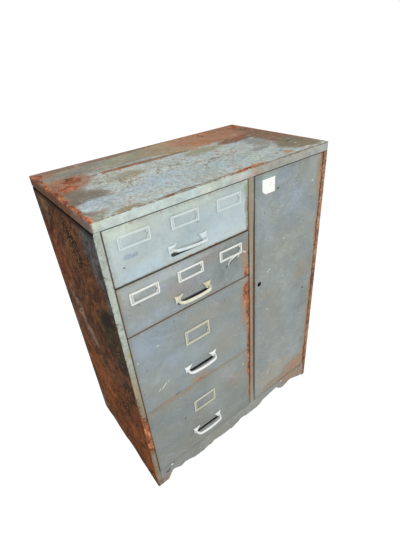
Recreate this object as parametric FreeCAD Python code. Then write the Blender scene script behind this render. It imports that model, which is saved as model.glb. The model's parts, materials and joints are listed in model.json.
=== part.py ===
import FreeCAD, Part
import math
import os

Vector = FreeCAD.Vector

# Steel filing cabinet: two card drawers over two file drawers on the left, a shelved cupboard with a door
# on the right. X runs to the right, Y to the back and Z up, in millimetres. The origin is on the floor,
# midway across the width and midway from the handles to the screw heads on the back.

# Front layout
DEPTH = 438.0
LID_HEIGHT = 26.0
CARD_PITCH = 152.5
FILE_PITCH = 305.0
BASE_HEIGHT = 75.0
STILE = 17.0
CENTRE_STILE = 19.0
DRAWER_OPENING = 420.0
DOOR_OPENING = 295.0

# Sheet thicknesses and edge roundings
BODY_GAUGE = 1.2
DRAWER_GAUGE = 1.0
RUNNER_GAUGE = 1.4
LID_EDGE_RADIUS = 3.0
FRONT_EDGE_RADIUS = 2.5
DRAWER_FOOT_RADIUS = 9.0

# Gaps that show, and hidden clearances
GAP = 2.5
DRAWER_SIDE_GAP = 2.0
DOOR_LOCK_GAP = 4.0
SHADOW_LINE = 1.0
SHEET_CLEARANCE = 0.3
FIT_CLEARANCE = 0.05
RUNNER_CLEARANCE = 0.4
RUNNER_SIDE_CLEARANCE = 0.6

# How far a cutting shape runs past the material it cuts
OVERRUN = 1.0

# Carcass
STILE_RETURN = 30.0
PARTITION_RETURN = 20.0
BACK_FLANGE = 14.0
LID_HEM = 12.0
LID_GROOVE = 8.0
LID_GROOVE_DEPTH = 3.0
FOOT_WIDTH = 45.0
APRON_GAP = 28.0
APRON_RADIUS = 24.0
RAIL_RETURN = 18.0
RAIL_HOLE_RADIUS = 4.0
RAIL_HOLE_DROP = 9.0
RAIL_HOLE_FROM_LEFT = 65.0
RAIL_HOLE_SPACING = 549.0
BOTTOM_FLANGE = 12.0
BOTTOM_TONGUE_LAP = 4.0
DOOR_STOP_HEIGHT = 9.0
CROSS_RAIL_HEIGHT = 10.0
CROSS_RAIL_DEPTH = 24.0
CROSS_RAIL_CLEARANCE = 1.0

# Screws that hold the back panel
BACK_SCREWS_PER_SIDE = 5
BACK_SCREW_RADIUS = 2.0
BACK_SCREW_LENGTH = 8.0
BACK_SCREW_HEAD_RADIUS = 4.5
BACK_SCREW_HEAD_HEIGHT = 2.2
BACK_SCREW_CROWN_SHARE = 0.6
BACK_SCREW_END_MARGIN = 60.0

# Drawers
FRONT_DEPTH = 20.0
TRAY_BACK_CLEARANCE = 12.0
TRAY_FLOOR_LIFT = 9.0
CARD_TRAY_HEIGHT = 100.0
FILE_TRAY_HEIGHT = 240.0
CARD_ROWS = 3
DIVIDER_HEIGHT = 85.0
DIVIDER_FOOT = 10.0

# Runners
SLIDE_SPACE = 14.0
CARD_RUNNER_HEIGHT = 30.0
FILE_RUNNER_HEIGHT = 40.0
RUNNER_LAP = 10.0
RUNNER_LIFT = 34.0
RUNNER_FRONT_CLEARANCE = 2.0
RUNNER_BACK_CLEARANCE = 10.0
SLIDE_END_STEP = 4.0

# Handles
HANDLE_HALF_SPAN = 51.5
HANDLE_REACH = 24.1
HANDLE_DROP = 14.9
HANDLE_BAR_HEIGHT = 10.0
HANDLE_BAR_THICKNESS = 7.0
HANDLE_CROWN = 2.6
HANDLE_BEND_RADIUS = 16.0
EAR_TOP_WIDTH = 26.5
EAR_FOOT_WIDTH = 11.0
EAR_HEIGHT = 17.0
EAR_LEAN = 2.5
EAR_THICKNESS = 3.0
EAR_NOTCH = 2.5
EAR_WAIST_SHARE = 0.55
CARD_EAR_DROP = 99.3
FILE_EAR_DROP = 214.0
SLOT_LENGTH = 102.0
SLOT_HEIGHT = 12.5
SLOT_DROP = 18.0
SLOT_CORNER_SHARE = 0.45
EAR_SCREW_RADIUS = 1.75
EAR_SCREW_HEAD_RADIUS = 4.0
EAR_SCREW_HEAD_HEIGHT = 2.0
EAR_SCREW_DEPTH = 1.8

# Label holders
HOLDER_THICKNESS = 2.6
HOLDER_EDGE_RADIUS = 0.9
HOLDER_NOTCH_RADIUS = 4.5
CARD_HOLDER = {"width": 82.0, "height": 34.0, "rail": 6.5, "end": 9.5}
FILE_HOLDER = {"width": 86.0, "height": 51.0, "rail": 9.0, "end": 9.0}
CARD_HOLDER_SPACING = 139.0
CARD_HOLDER_DROP = 43.0
FILE_HOLDER_DROP = 104.5

# Door, its pivots and its stop
DOOR_DEPTH = 20.0
DOOR_STOP_CLEARANCE = 0.5
PIVOT_SETBACK = 6.0
PIVOT_RADIUS = 3.0
PIVOT_HOLE_CLEARANCE = 0.5
PIVOT_BLOCK_WIDTH = 16.0
PIVOT_BLOCK_DEPTH = 12.0
PIVOT_BLOCK_HEIGHT = 14.0
PIVOT_BLOCK_EDGE = 2.0
PIVOT_PLATE_WIDTH = 30.0
PIVOT_PLATE_THICKNESS = 3.0
PIVOT_HEAD_RADIUS = 4.5
PIVOT_HEAD_HEIGHT = 2.0
PIVOT_COLLAR_RADIUS = 5.5

# Lock
LOCK_FROM_DOOR_EDGE = 21.0
LOCK_HEIGHT = 628.0
LOCK_HOLE_RADIUS = 8.5
LOCK_WALL = 1.9
LOCK_FLANGE_RADIUS = 11.0
LOCK_FLANGE_THICKNESS = 2.5
LOCK_HOUSING_RECESS = 0.8
LOCK_PLUG_RECESS = 6.0
KEYWAY_WIDTH = 2.2
KEYWAY_HEIGHT = 8.0
KEYWAY_DEPTH = 7.0
CAM_REACH = 36.0
CAM_WIDTH = 14.0
CAM_THICKNESS = 2.0
CAM_CLEARANCE = 0.8
CAM_SQUARE = 6.0

# Paper sticker on the door
STICKER_WIDTH = 50.0
STICKER_HEIGHT = 44.0
STICKER_THICKNESS = 0.3
STICKER_FROM_DOOR_EDGE = 28.0
STICKER_DROP = 20.5
STICKER_CORNER = 12.0

# Shelves
SHELF_COUNT = 3
SHELF_SIDE_CLEARANCE = 1.5
SHELF_FRONT_SETBACK = 34.0
SHELF_BACK_CLEARANCE = 8.0
SHELF_FLANGE = 18.0
STANDARD_WIDTH = 16.0
STANDARD_THICKNESS = 2.0
STANDARD_SETBACK = 38.0
STANDARD_END_CLEARANCE = 6.0
SLOT_STEPS_PER_SHELF = 5
STANDARD_SLOT_WIDTH = 8.0
STANDARD_SLOT_HEIGHT = 3.0
CLIP_WIDTH = 12.0
CLIP_REACH = 12.0
CLIP_LEG = 14.0
CLIP_THICKNESS = 1.5

# Heights worked out from the pitches
LID_BOTTOM = BASE_HEIGHT + 2 * FILE_PITCH + 2 * CARD_PITCH
HEIGHT = LID_BOTTOM + LID_HEIGHT
GROOVE_BOTTOM = LID_BOTTOM - LID_GROOVE
STILE_TOP = LID_BOTTOM - SHADOW_LINE

# Places across the width
WIDTH = 2 * STILE + DRAWER_OPENING + CENTRE_STILE + DOOR_OPENING
LEFT = -WIDTH / 2
RIGHT = WIDTH / 2
DRAWERS_LEFT = LEFT + STILE
DRAWERS_RIGHT = DRAWERS_LEFT + DRAWER_OPENING
DRAWERS_MIDDLE = (DRAWERS_LEFT + DRAWERS_RIGHT) / 2
BAY_LEFT = DRAWERS_RIGHT + CENTRE_STILE
BAY_RIGHT = BAY_LEFT + DOOR_OPENING

# Places from front to back
HANDLE_LEAN = math.atan2(HANDLE_DROP, HANDLE_REACH)
HANDLE_PROJECTION = HANDLE_REACH + math.hypot(HANDLE_BAR_THICKNESS / 2 * math.cos(HANDLE_LEAN),
                                              HANDLE_BAR_HEIGHT / 2 * math.sin(HANDLE_LEAN))
FRONT = HANDLE_PROJECTION - (HANDLE_PROJECTION + DEPTH + BACK_SCREW_HEAD_HEIGHT) / 2
BACK = FRONT + DEPTH
PANEL_FRONT = BACK - 2 * BODY_GAUGE
TRAY_FRONT = FRONT + FRONT_DEPTH
TRAY_BACK = PANEL_FRONT - TRAY_BACK_CLEARANCE
RUNNER_START = FRONT + STILE_RETURN + RUNNER_FRONT_CLEARANCE
RUNNER_END = PANEL_FRONT - RUNNER_BACK_CLEARANCE

# Tray walls, level with the inner edge of the runners
TRAY_LEFT = DRAWERS_LEFT + SLIDE_SPACE
TRAY_RIGHT = DRAWERS_RIGHT - SLIDE_SPACE

# Door edges
DOOR_LEFT = BAY_LEFT + DOOR_LOCK_GAP
DOOR_RIGHT = BAY_RIGHT - GAP
DOOR_BOTTOM = BASE_HEIGHT + GAP
DOOR_TOP = LID_BOTTOM - GAP
PIVOT_X = DOOR_RIGHT - PIVOT_SETBACK
PIVOT_Y = FRONT + PIVOT_SETBACK
LOCK_X = DOOR_LEFT + LOCK_FROM_DOOR_EDGE

# Shelf heights and the places of the standards that carry them
SHELF_STEP = (LID_BOTTOM - BASE_HEIGHT) / (SHELF_COUNT + 1)
SLOT_PITCH = SHELF_STEP / SLOT_STEPS_PER_SHELF
BAY_INNER_LEFT = DRAWERS_RIGHT + BODY_GAUGE
BAY_INNER_RIGHT = RIGHT - BODY_GAUGE
STANDARD_FRONT_Y = FRONT + STANDARD_SETBACK + STANDARD_WIDTH / 2
STANDARD_BACK_Y = PANEL_FRONT - STANDARD_SETBACK - STANDARD_WIDTH / 2

# Each drawer: its name, pitch and the top of its pitch
CARD_TOPS = [LID_BOTTOM, LID_BOTTOM - CARD_PITCH]
FILE_TOPS = [LID_BOTTOM - 2 * CARD_PITCH, LID_BOTTOM - 2 * CARD_PITCH - FILE_PITCH]
DRAWERS = [
    {"name": "drawer_1", "kind": "card", "top": CARD_TOPS[0], "pitch": CARD_PITCH},
    {"name": "drawer_2", "kind": "card", "top": CARD_TOPS[1], "pitch": CARD_PITCH},
    {"name": "drawer_3", "kind": "file", "top": FILE_TOPS[0], "pitch": FILE_PITCH},
    {"name": "drawer_4", "kind": "file", "top": FILE_TOPS[1], "pitch": FILE_PITCH},
]


# Shared shapes

def block(x0, x1, y0, y1, z0, z1):
    return Part.makeBox(x1 - x0, y1 - y0, z1 - z0, Vector(x0, y0, z0))


def rod(radius, start, end):
    direction = end - start
    return Part.makeCylinder(radius, direction.Length, start, direction)


def pivot_rod(radius, z0, z1):
    return rod(radius, Vector(PIVOT_X, PIVOT_Y, z0), Vector(PIVOT_X, PIVOT_Y, z1))


def lock_rod(radius, y0, y1):
    return rod(radius, Vector(LOCK_X, y0, LOCK_HEIGHT), Vector(LOCK_X, y1, LOCK_HEIGHT))


def joined(shapes):
    whole = shapes[0]
    if len(shapes) > 1:
        whole = shapes[0].multiFuse(shapes[1:])
    return whole.removeSplitter()


def edges_where(shape, test):
    chosen = []
    for edge in shape.Edges:
        points = [vertex.Point for vertex in edge.Vertexes]
        if len(points) == 2 and all(test(point) for point in points):
            chosen.append(edge)
    return chosen


def rounded(shape, radius, test):
    edges = edges_where(shape, test)
    return shape.makeFillet(radius, edges) if edges and radius > 0 else shape


def near(a, b):
    return abs(a - b) < 1e-4


def mirrored(shape, x):
    return shape.mirror(Vector(x, 0, 0), Vector(1, 0, 0))


def front_pan(x0, x1, z0, z1, depth, gauge, radius, foot_radius):
    # A folded pan that is open at the back. Its bottom edge can be rounder than the other three.
    def skin(inset):
        shell = block(x0 + inset, x1 - inset, FRONT + inset, FRONT + depth + inset, z0 + inset, z1 - inset)
        low = z0 + inset
        face = FRONT + inset
        shell = rounded(shell, foot_radius - inset, lambda p: near(p.y, face) and near(p.z, low))
        return rounded(shell, radius - inset, lambda p: near(p.y, face) and p.z > low + foot_radius)

    return skin(0.0).cut(skin(gauge))


def channel(web, tip, z_middle, height, y0, y1):
    # A C section along Y. Its web is RUNNER_GAUGE thick from web towards tip, its flanges end at tip.
    inward = math.copysign(RUNNER_GAUGE, tip - web)
    low = z_middle - height / 2
    high = z_middle + height / 2
    x0, x1 = sorted((web, web + inward))
    pieces = [block(x0, x1, y0, y1, low, high)]
    x0, x1 = sorted((web, tip))
    pieces.append(block(x0, x1, y0, y1, low, low + RUNNER_GAUGE))
    pieces.append(block(x0, x1, y0, y1, high - RUNNER_GAUGE, high))
    return joined(pieces)


def export(name, shape):
    shape.exportStep("parts/" + name + ".step")


# Carcass

def make_top_panel():
    def skin(inset, bottom):
        shell = block(LEFT + inset, RIGHT - inset, FRONT + inset, BACK - inset, bottom, HEIGHT - inset)
        front = FRONT + inset
        back = BACK - inset
        return rounded(shell, LID_EDGE_RADIUS - inset, lambda p: near(p.z, HEIGHT - inset)
                       or near(abs(p.x), RIGHT - inset) and (near(p.y, front) or near(p.y, back)))

    lid = skin(0.0, LID_BOTTOM).cut(skin(BODY_GAUGE, LID_BOTTOM - OVERRUN))
    hem_end = RIGHT - LID_GROOVE_DEPTH - BODY_GAUGE - SHEET_CLEARANCE
    hem_top = LID_BOTTOM + BODY_GAUGE
    front_hem = block(-hem_end, hem_end, FRONT + BODY_GAUGE, FRONT + LID_HEM, LID_BOTTOM, hem_top)
    back_hem = block(-hem_end, hem_end, BACK - LID_HEM, BACK - BODY_GAUGE, LID_BOTTOM, hem_top)
    pivot_hole = pivot_rod(PIVOT_RADIUS + FIT_CLEARANCE, LID_BOTTOM - OVERRUN, hem_top + OVERRUN)
    return joined([lid, front_hem, back_hem]).cut(pivot_hole)


def back_screw_places():
    low = BASE_HEIGHT + BACK_SCREW_END_MARGIN
    high = LID_BOTTOM - BACK_SCREW_END_MARGIN
    step = (high - low) / (BACK_SCREWS_PER_SIDE - 1)
    places = []
    for x in (LEFT + BACK_FLANGE / 2, RIGHT - BACK_FLANGE / 2):
        for index in range(BACK_SCREWS_PER_SIDE):
            places.append((x, low + index * step))
    return places


def back_screw_holes():
    return [rod(BACK_SCREW_RADIUS, Vector(x, PANEL_FRONT - OVERRUN, z), Vector(x, BACK + OVERRUN, z))
            for x, z in back_screw_places()]


def make_left_side_panel():
    inner = LEFT + BODY_GAUGE
    ledge_end = LEFT + LID_GROOVE_DEPTH + BODY_GAUGE
    ledge_back = PANEL_FRONT - SHEET_CLEARANCE
    panel = joined([
        block(LEFT, inner, FRONT, BACK, 0, GROOVE_BOTTOM),
        block(LEFT, LEFT + STILE, FRONT, FRONT + BODY_GAUGE, 0, STILE_TOP),
        block(LEFT + STILE - BODY_GAUGE, LEFT + STILE, FRONT, FRONT + STILE_RETURN, 0, STILE_TOP),
        block(LEFT, LEFT + BACK_FLANGE, BACK - BODY_GAUGE, BACK, 0, GROOVE_BOTTOM),
        block(LEFT, ledge_end, FRONT, ledge_back, GROOVE_BOTTOM - BODY_GAUGE, GROOVE_BOTTOM),
        block(ledge_end - BODY_GAUGE, ledge_end, FRONT + LID_EDGE_RADIUS, PANEL_FRONT - LID_EDGE_RADIUS,
              GROOVE_BOTTOM - BODY_GAUGE, HEIGHT - BODY_GAUGE),
    ])
    corner_top = GROOVE_BOTTOM + SHEET_CLEARANCE
    panel = rounded(panel, FRONT_EDGE_RADIUS,
                    lambda p: near(p.x, LEFT) and near(p.y, FRONT) and p.z < corner_top)
    return panel.cut(back_screw_holes())


def make_back_panel():
    side = RIGHT - BODY_GAUGE - SHEET_CLEARANCE
    bottom = BASE_HEIGHT - 2 * BODY_GAUGE
    top = LID_BOTTOM - SHEET_CLEARANCE
    return block(-side, side, PANEL_FRONT, PANEL_FRONT + BODY_GAUGE, bottom, top).cut(back_screw_holes())


def make_back_panel_screws():
    screws = []
    for x, z in back_screw_places():
        seat = Vector(x, BACK, z)
        shank = rod(BACK_SCREW_RADIUS, Vector(x, BACK - BACK_SCREW_LENGTH, z), seat)
        head = rod(BACK_SCREW_HEAD_RADIUS, seat, Vector(x, BACK + BACK_SCREW_HEAD_HEIGHT, z))
        crown = BACK + BACK_SCREW_HEAD_HEIGHT
        rim = [edge for edge in head.Edges if near(edge.CenterOfMass.y, crown) and len(edge.Vertexes) == 1]
        head = head.makeFillet(BACK_SCREW_HEAD_HEIGHT * BACK_SCREW_CROWN_SHARE, rim)
        screws.append(joined([shank, head]))
    return Part.makeCompound(screws)


def make_bottom_panel():
    top = BASE_HEIGHT - BODY_GAUGE
    low = top - BODY_GAUGE
    tongue_front = FRONT + RAIL_RETURN - BOTTOM_TONGUE_LAP
    wide_front = FRONT + STILE_RETURN + SHEET_CLEARANCE
    stop_front = FRONT + DOOR_DEPTH + DOOR_STOP_CLEARANCE
    pieces = [
        block(LEFT + BODY_GAUGE, RIGHT - BODY_GAUGE, wide_front, PANEL_FRONT, low, top),
        block(DRAWERS_LEFT, BAY_RIGHT, tongue_front, wide_front, low, top),
        block(BAY_LEFT + GAP, PIVOT_X - PIVOT_BLOCK_WIDTH, stop_front, stop_front + BODY_GAUGE, low,
              BASE_HEIGHT + DOOR_STOP_HEIGHT),
    ]
    side = LEFT + BODY_GAUGE
    flange = block(side, side + BODY_GAUGE, wide_front, PANEL_FRONT, low - BOTTOM_FLANGE, low)
    pieces.append(flange)
    pieces.append(mirrored(flange, 0))
    return joined(pieces)


def apron_cut():
    side = RIGHT - FOOT_WIDTH
    bend = APRON_RADIUS
    spring = APRON_GAP - bend
    diagonal = bend * math.sqrt(0.5)
    left_arc = Part.Arc(Vector(-side, FRONT, spring),
                        Vector(-side + bend - diagonal, FRONT, spring + diagonal),
                        Vector(-side + bend, FRONT, APRON_GAP))
    right_arc = Part.Arc(Vector(side - bend, FRONT, APRON_GAP),
                         Vector(side - bend + diagonal, FRONT, spring + diagonal),
                         Vector(side, FRONT, spring))
    corners = [Vector(-side, FRONT, -OVERRUN), Vector(-side, FRONT, spring),
               Vector(-side + bend, FRONT, APRON_GAP), Vector(side - bend, FRONT, APRON_GAP),
               Vector(side, FRONT, spring), Vector(side, FRONT, -OVERRUN)]
    outline = Part.Wire([
        Part.LineSegment(corners[0], corners[1]).toShape(),
        left_arc.toShape(),
        Part.LineSegment(corners[2], corners[3]).toShape(),
        right_arc.toShape(),
        Part.LineSegment(corners[4], corners[5]).toShape(),
        Part.LineSegment(corners[5], corners[0]).toShape(),
    ])
    return Part.Face(outline).extrude(Vector(0, BODY_GAUGE, 0))


def make_base_rail_front():
    face = block(DRAWERS_LEFT, BAY_RIGHT, FRONT, FRONT + BODY_GAUGE, 0, BASE_HEIGHT)
    shelf = block(DRAWERS_LEFT, BAY_RIGHT, FRONT, FRONT + RAIL_RETURN, BASE_HEIGHT - BODY_GAUGE,
                  BASE_HEIGHT)
    hole_z = BASE_HEIGHT - RAIL_HOLE_DROP
    first_hole = LEFT + RAIL_HOLE_FROM_LEFT
    cuts = [apron_cut()]
    for x in (first_hole, first_hole + RAIL_HOLE_SPACING):
        cuts.append(rod(RAIL_HOLE_RADIUS, Vector(x, FRONT - OVERRUN, hole_z),
                        Vector(x, FRONT + BODY_GAUGE + OVERRUN, hole_z)))
    cuts.append(pivot_rod(PIVOT_RADIUS + FIT_CLEARANCE, BASE_HEIGHT - BODY_GAUGE - OVERRUN,
                          BASE_HEIGHT + OVERRUN))
    return joined([face, shelf]).cut(cuts)


def make_base_rail_back():
    side = RIGHT - BACK_FLANGE
    top = BASE_HEIGHT - 2 * BODY_GAUGE
    return joined([
        block(-side, side, BACK - BODY_GAUGE, BACK, 0, top),
        block(-side, side, BACK - RAIL_RETURN, BACK, top - BODY_GAUGE, top),
    ])


def make_centre_partition():
    plate_right = DRAWERS_RIGHT + BODY_GAUGE
    nose_back = FRONT + PARTITION_RETURN
    hem_notch = BACK - LID_HEM - SHEET_CLEARANCE
    return joined([
        block(DRAWERS_RIGHT, BAY_LEFT, FRONT, FRONT + BODY_GAUGE, BASE_HEIGHT, STILE_TOP),
        block(BAY_LEFT - BODY_GAUGE, BAY_LEFT, FRONT, nose_back, BASE_HEIGHT, STILE_TOP),
        block(DRAWERS_RIGHT, plate_right, FRONT, nose_back, BASE_HEIGHT, STILE_TOP),
        block(DRAWERS_RIGHT, plate_right, nose_back, PANEL_FRONT, BASE_HEIGHT - BODY_GAUGE, STILE_TOP),
        block(DRAWERS_RIGHT, plate_right, nose_back, hem_notch, STILE_TOP, HEIGHT - BODY_GAUGE),
    ])


def make_drawer_cross_rails():
    front = TRAY_FRONT + CROSS_RAIL_CLEARANCE
    rails = []
    for z in (CARD_TOPS[1], FILE_TOPS[0], FILE_TOPS[1]):
        low = z - CROSS_RAIL_HEIGHT / 2
        high = z + CROSS_RAIL_HEIGHT / 2
        rails.append(joined([
            block(DRAWERS_LEFT, DRAWERS_RIGHT, front, front + BODY_GAUGE, low, high),
            block(DRAWERS_LEFT, DRAWERS_RIGHT, front, front + CROSS_RAIL_DEPTH, low, low + BODY_GAUGE),
            block(DRAWERS_LEFT, DRAWERS_RIGHT, front, front + CROSS_RAIL_DEPTH, high - BODY_GAUGE, high),
        ]))
    return Part.makeCompound(rails)


# Drawers

def tray_floor(drawer):
    return drawer["top"] - drawer["pitch"] + TRAY_FLOOR_LIFT


def runner_height(drawer):
    return CARD_RUNNER_HEIGHT if drawer["kind"] == "card" else FILE_RUNNER_HEIGHT


def runner_middle(drawer):
    return tray_floor(drawer) + RUNNER_LIFT


def nested_height(outer_height):
    return outer_height - 2 * (RUNNER_GAUGE + RUNNER_CLEARANCE)


def make_cabinet_runners(drawer):
    z = runner_middle(drawer)
    height = runner_height(drawer)
    left = channel(LEFT + BODY_GAUGE, DRAWERS_LEFT + RUNNER_LAP, z, height, RUNNER_START, RUNNER_END)
    right = channel(DRAWERS_RIGHT, DRAWERS_RIGHT - RUNNER_LAP, z, height, RUNNER_START, RUNNER_END)
    return Part.makeCompound([left, right])


def make_slide_members(drawer):
    z = runner_middle(drawer)
    height = nested_height(runner_height(drawer))
    web = RUNNER_GAUGE + RUNNER_SIDE_CLEARANCE
    tip = web + RUNNER_LAP - RUNNER_GAUGE
    start = RUNNER_START + SLIDE_END_STEP
    end = RUNNER_END - SLIDE_END_STEP
    left = channel(DRAWERS_LEFT + web, DRAWERS_LEFT + tip, z, height, start, end)
    return Part.makeCompound([left, mirrored(left, DRAWERS_MIDDLE)])


def make_drawer_runners(drawer):
    z = runner_middle(drawer)
    tip = RUNNER_GAUGE + RUNNER_SIDE_CLEARANCE
    height = nested_height(runner_height(drawer))
    if drawer["kind"] == "file":
        tip = 2 * tip
        height = nested_height(height)
    start = RUNNER_START - RUNNER_FRONT_CLEARANCE
    end = TRAY_BACK - SLIDE_END_STEP
    left = channel(TRAY_LEFT, DRAWERS_LEFT + tip, z, height, start, end)
    return Part.makeCompound([left, mirrored(left, DRAWERS_MIDDLE)])


def front_limits(drawer):
    bottom = drawer["top"] - drawer["pitch"] + GAP / 2
    top = drawer["top"] - GAP / 2
    if near(drawer["top"], LID_BOTTOM):
        top = LID_BOTTOM - GAP
    return bottom, top


def ear_level(drawer):
    return drawer["top"] - (CARD_EAR_DROP if drawer["kind"] == "card" else FILE_EAR_DROP)


def ear_screw_places(drawer):
    z = ear_level(drawer) - EAR_HEIGHT / 2
    offset = HANDLE_HALF_SPAN - EAR_LEAN
    return [Vector(DRAWERS_MIDDLE - offset, FRONT, z), Vector(DRAWERS_MIDDLE + offset, FRONT, z)]


def finger_slot(drawer):
    top = ear_level(drawer) - SLOT_DROP
    half = SLOT_LENGTH / 2
    start = FRONT - OVERRUN
    end = FRONT + BODY_GAUGE + OVERRUN
    slot = block(DRAWERS_MIDDLE - half, DRAWERS_MIDDLE + half, start, end, top - SLOT_HEIGHT, top)
    corners = [edge for edge in slot.Edges if near(edge.Vertexes[0].X, edge.Vertexes[1].X)
               and near(edge.Vertexes[0].Z, edge.Vertexes[1].Z)]
    return slot.makeFillet(SLOT_HEIGHT * SLOT_CORNER_SHARE, corners)


def make_drawer_front(drawer):
    bottom, top = front_limits(drawer)
    x0 = DRAWERS_LEFT + DRAWER_SIDE_GAP
    x1 = DRAWERS_RIGHT - DRAWER_SIDE_GAP
    pan = front_pan(x0, x1, bottom, top, FRONT_DEPTH, BODY_GAUGE, FRONT_EDGE_RADIUS, DRAWER_FOOT_RADIUS)
    cuts = [finger_slot(drawer)]
    for place in ear_screw_places(drawer):
        cuts.append(rod(EAR_SCREW_RADIUS, place - Vector(0, OVERRUN, 0),
                        place + Vector(0, BODY_GAUGE + OVERRUN, 0)))
    return pan.cut(cuts)


def make_tray(drawer):
    bottom, top = front_limits(drawer)
    x0 = DRAWERS_LEFT + DRAWER_SIDE_GAP + BODY_GAUGE
    x1 = DRAWERS_RIGHT - DRAWER_SIDE_GAP - BODY_GAUGE
    wall = DRAWER_GAUGE
    floor = tray_floor(drawer)
    height = CARD_TRAY_HEIGHT if drawer["kind"] == "card" else FILE_TRAY_HEIGHT
    rim = floor + height
    return joined([
        block(x0, x1, TRAY_FRONT - wall, TRAY_FRONT, bottom + BODY_GAUGE, top - BODY_GAUGE),
        block(TRAY_LEFT, TRAY_RIGHT, TRAY_FRONT - wall, TRAY_BACK, floor, floor + wall),
        block(TRAY_LEFT, TRAY_LEFT + wall, TRAY_FRONT - wall, TRAY_BACK, floor, rim),
        block(TRAY_RIGHT - wall, TRAY_RIGHT, TRAY_FRONT - wall, TRAY_BACK, floor, rim),
        block(TRAY_LEFT, TRAY_RIGHT, TRAY_BACK - wall, TRAY_BACK, floor, rim),
    ])


def make_dividers(drawer):
    wall = DRAWER_GAUGE
    low = tray_floor(drawer) + wall
    row = (TRAY_RIGHT - TRAY_LEFT) / CARD_ROWS
    back = TRAY_BACK - wall
    plates = []
    for index in range(1, CARD_ROWS):
        x = TRAY_LEFT + index * row
        plates.append(joined([
            block(x - wall / 2, x + wall / 2, TRAY_FRONT, back, low, low + DIVIDER_HEIGHT),
            block(x - wall / 2, x + DIVIDER_FOOT, TRAY_FRONT, back, low, low + wall),
        ]))
    return Part.makeCompound(plates)


def bar_path():
    # The grip's line in its own tilted plane: leg, bend, shallow crown, bend and leg.
    reach = math.hypot(HANDLE_REACH, HANDLE_DROP)
    half = HANDLE_HALF_SPAN
    crown_radius = (half * half + HANDLE_CROWN * HANDLE_CROWN) / (2 * HANDLE_CROWN)
    crown_centre = reach - crown_radius
    bend_x = half - HANDLE_BEND_RADIUS
    bend_v = crown_centre + math.sqrt((crown_radius - HANDLE_BEND_RADIUS) ** 2 - bend_x ** 2)
    scale = crown_radius / (crown_radius - HANDLE_BEND_RADIUS)
    meet = (bend_x * scale, crown_centre + (bend_v - crown_centre) * scale)
    angle = math.atan2(meet[1] - bend_v, meet[0] - bend_x) / 2
    elbow = (bend_x + HANDLE_BEND_RADIUS * math.cos(angle), bend_v + HANDLE_BEND_RADIUS * math.sin(angle))

    def place(point, side):
        return Vector(DRAWERS_MIDDLE + side * point[0], FRONT - point[1] * math.cos(HANDLE_LEAN),
                      -point[1] * math.sin(HANDLE_LEAN))

    root = (half, 0.0)
    leg = (half, bend_v)
    edges = [Part.LineSegment(place(root, -1), place(leg, -1)).toShape(),
             Part.Arc(place(leg, -1), place(elbow, -1), place(meet, -1)).toShape(),
             Part.Arc(place(meet, -1), place((0.0, reach), 1), place(meet, 1)).toShape(),
             Part.Arc(place(meet, 1), place(elbow, 1), place(leg, 1)).toShape(),
             Part.LineSegment(place(leg, 1), place(root, 1)).toShape()]
    return Part.Wire(edges)


def make_ear(side):
    # The fishtail plate that one end of the grip springs from.
    foot = DRAWERS_MIDDLE + side * HANDLE_HALF_SPAN
    middle = foot - side * 2 * EAR_LEAN
    y = FRONT - EAR_THICKNESS
    half_top = EAR_TOP_WIDTH / 2
    half_foot = EAR_FOOT_WIDTH / 2

    def at(x, z):
        return Vector(x, y, z)

    left_tip = at(middle - half_top, 0)
    right_tip = at(middle + half_top, 0)
    left_foot = at(foot - half_foot, -EAR_HEIGHT)
    right_foot = at(foot + half_foot, -EAR_HEIGHT)
    waist = -EAR_HEIGHT * EAR_WAIST_SHARE
    left_waist = at((left_tip.x + left_foot.x) / 2 + EAR_NOTCH / 2, waist)
    right_waist = at((right_tip.x + right_foot.x) / 2 - EAR_NOTCH / 2, waist)
    outline = Part.Wire([
        Part.Arc(left_tip, at(middle, -EAR_NOTCH), right_tip).toShape(),
        Part.Arc(right_tip, right_waist, right_foot).toShape(),
        Part.LineSegment(right_foot, left_foot).toShape(),
        Part.Arc(left_foot, left_waist, left_tip).toShape(),
    ])
    return Part.Face(outline).extrude(Vector(0, EAR_THICKNESS, 0))


def make_handle(drawer):
    path = bar_path()
    start = path.OrderedVertexes[0].Point
    normal = Vector(0, -math.sin(HANDLE_LEAN), math.cos(HANDLE_LEAN))
    along = Vector(0, -math.cos(HANDLE_LEAN), -math.sin(HANDLE_LEAN))
    section = Part.Ellipse()
    section.MajorRadius = HANDLE_BAR_HEIGHT / 2
    section.MinorRadius = HANDLE_BAR_THICKNESS / 2
    profile = Part.Wire([section.toShape()])
    turn = FreeCAD.Placement(start, FreeCAD.Rotation(normal, normal.cross(along).negative(), along, "ZXY"))
    profile.Placement = turn
    sweep = Part.BRepOffsetAPI.MakePipeShell(path)
    sweep.setBiNormalMode(normal)
    sweep.add(profile)
    sweep.build()
    sweep.makeSolid()
    behind = block(DRAWERS_LEFT, DRAWERS_RIGHT, FRONT, FRONT + HANDLE_BAR_HEIGHT,
                   -2 * EAR_HEIGHT, EAR_HEIGHT)
    bar = sweep.shape().cut(behind)
    handle = joined([bar, make_ear(-1), make_ear(1)])
    handle.translate(Vector(0, 0, ear_level(drawer)))
    sockets = [rod(EAR_SCREW_RADIUS, place - Vector(0, EAR_SCREW_DEPTH, 0), place + Vector(0, OVERRUN, 0))
               for place in ear_screw_places(drawer)]
    return handle.cut(sockets)


def make_handle_screws(drawer):
    screws = []
    for place in ear_screw_places(drawer):
        seat = place + Vector(0, BODY_GAUGE, 0)
        shank = rod(EAR_SCREW_RADIUS, place - Vector(0, EAR_SCREW_DEPTH - FIT_CLEARANCE, 0), seat)
        head = rod(EAR_SCREW_HEAD_RADIUS, seat, seat + Vector(0, EAR_SCREW_HEAD_HEIGHT, 0))
        screws.append(joined([shank, head]))
    return Part.makeCompound(screws)


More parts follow.
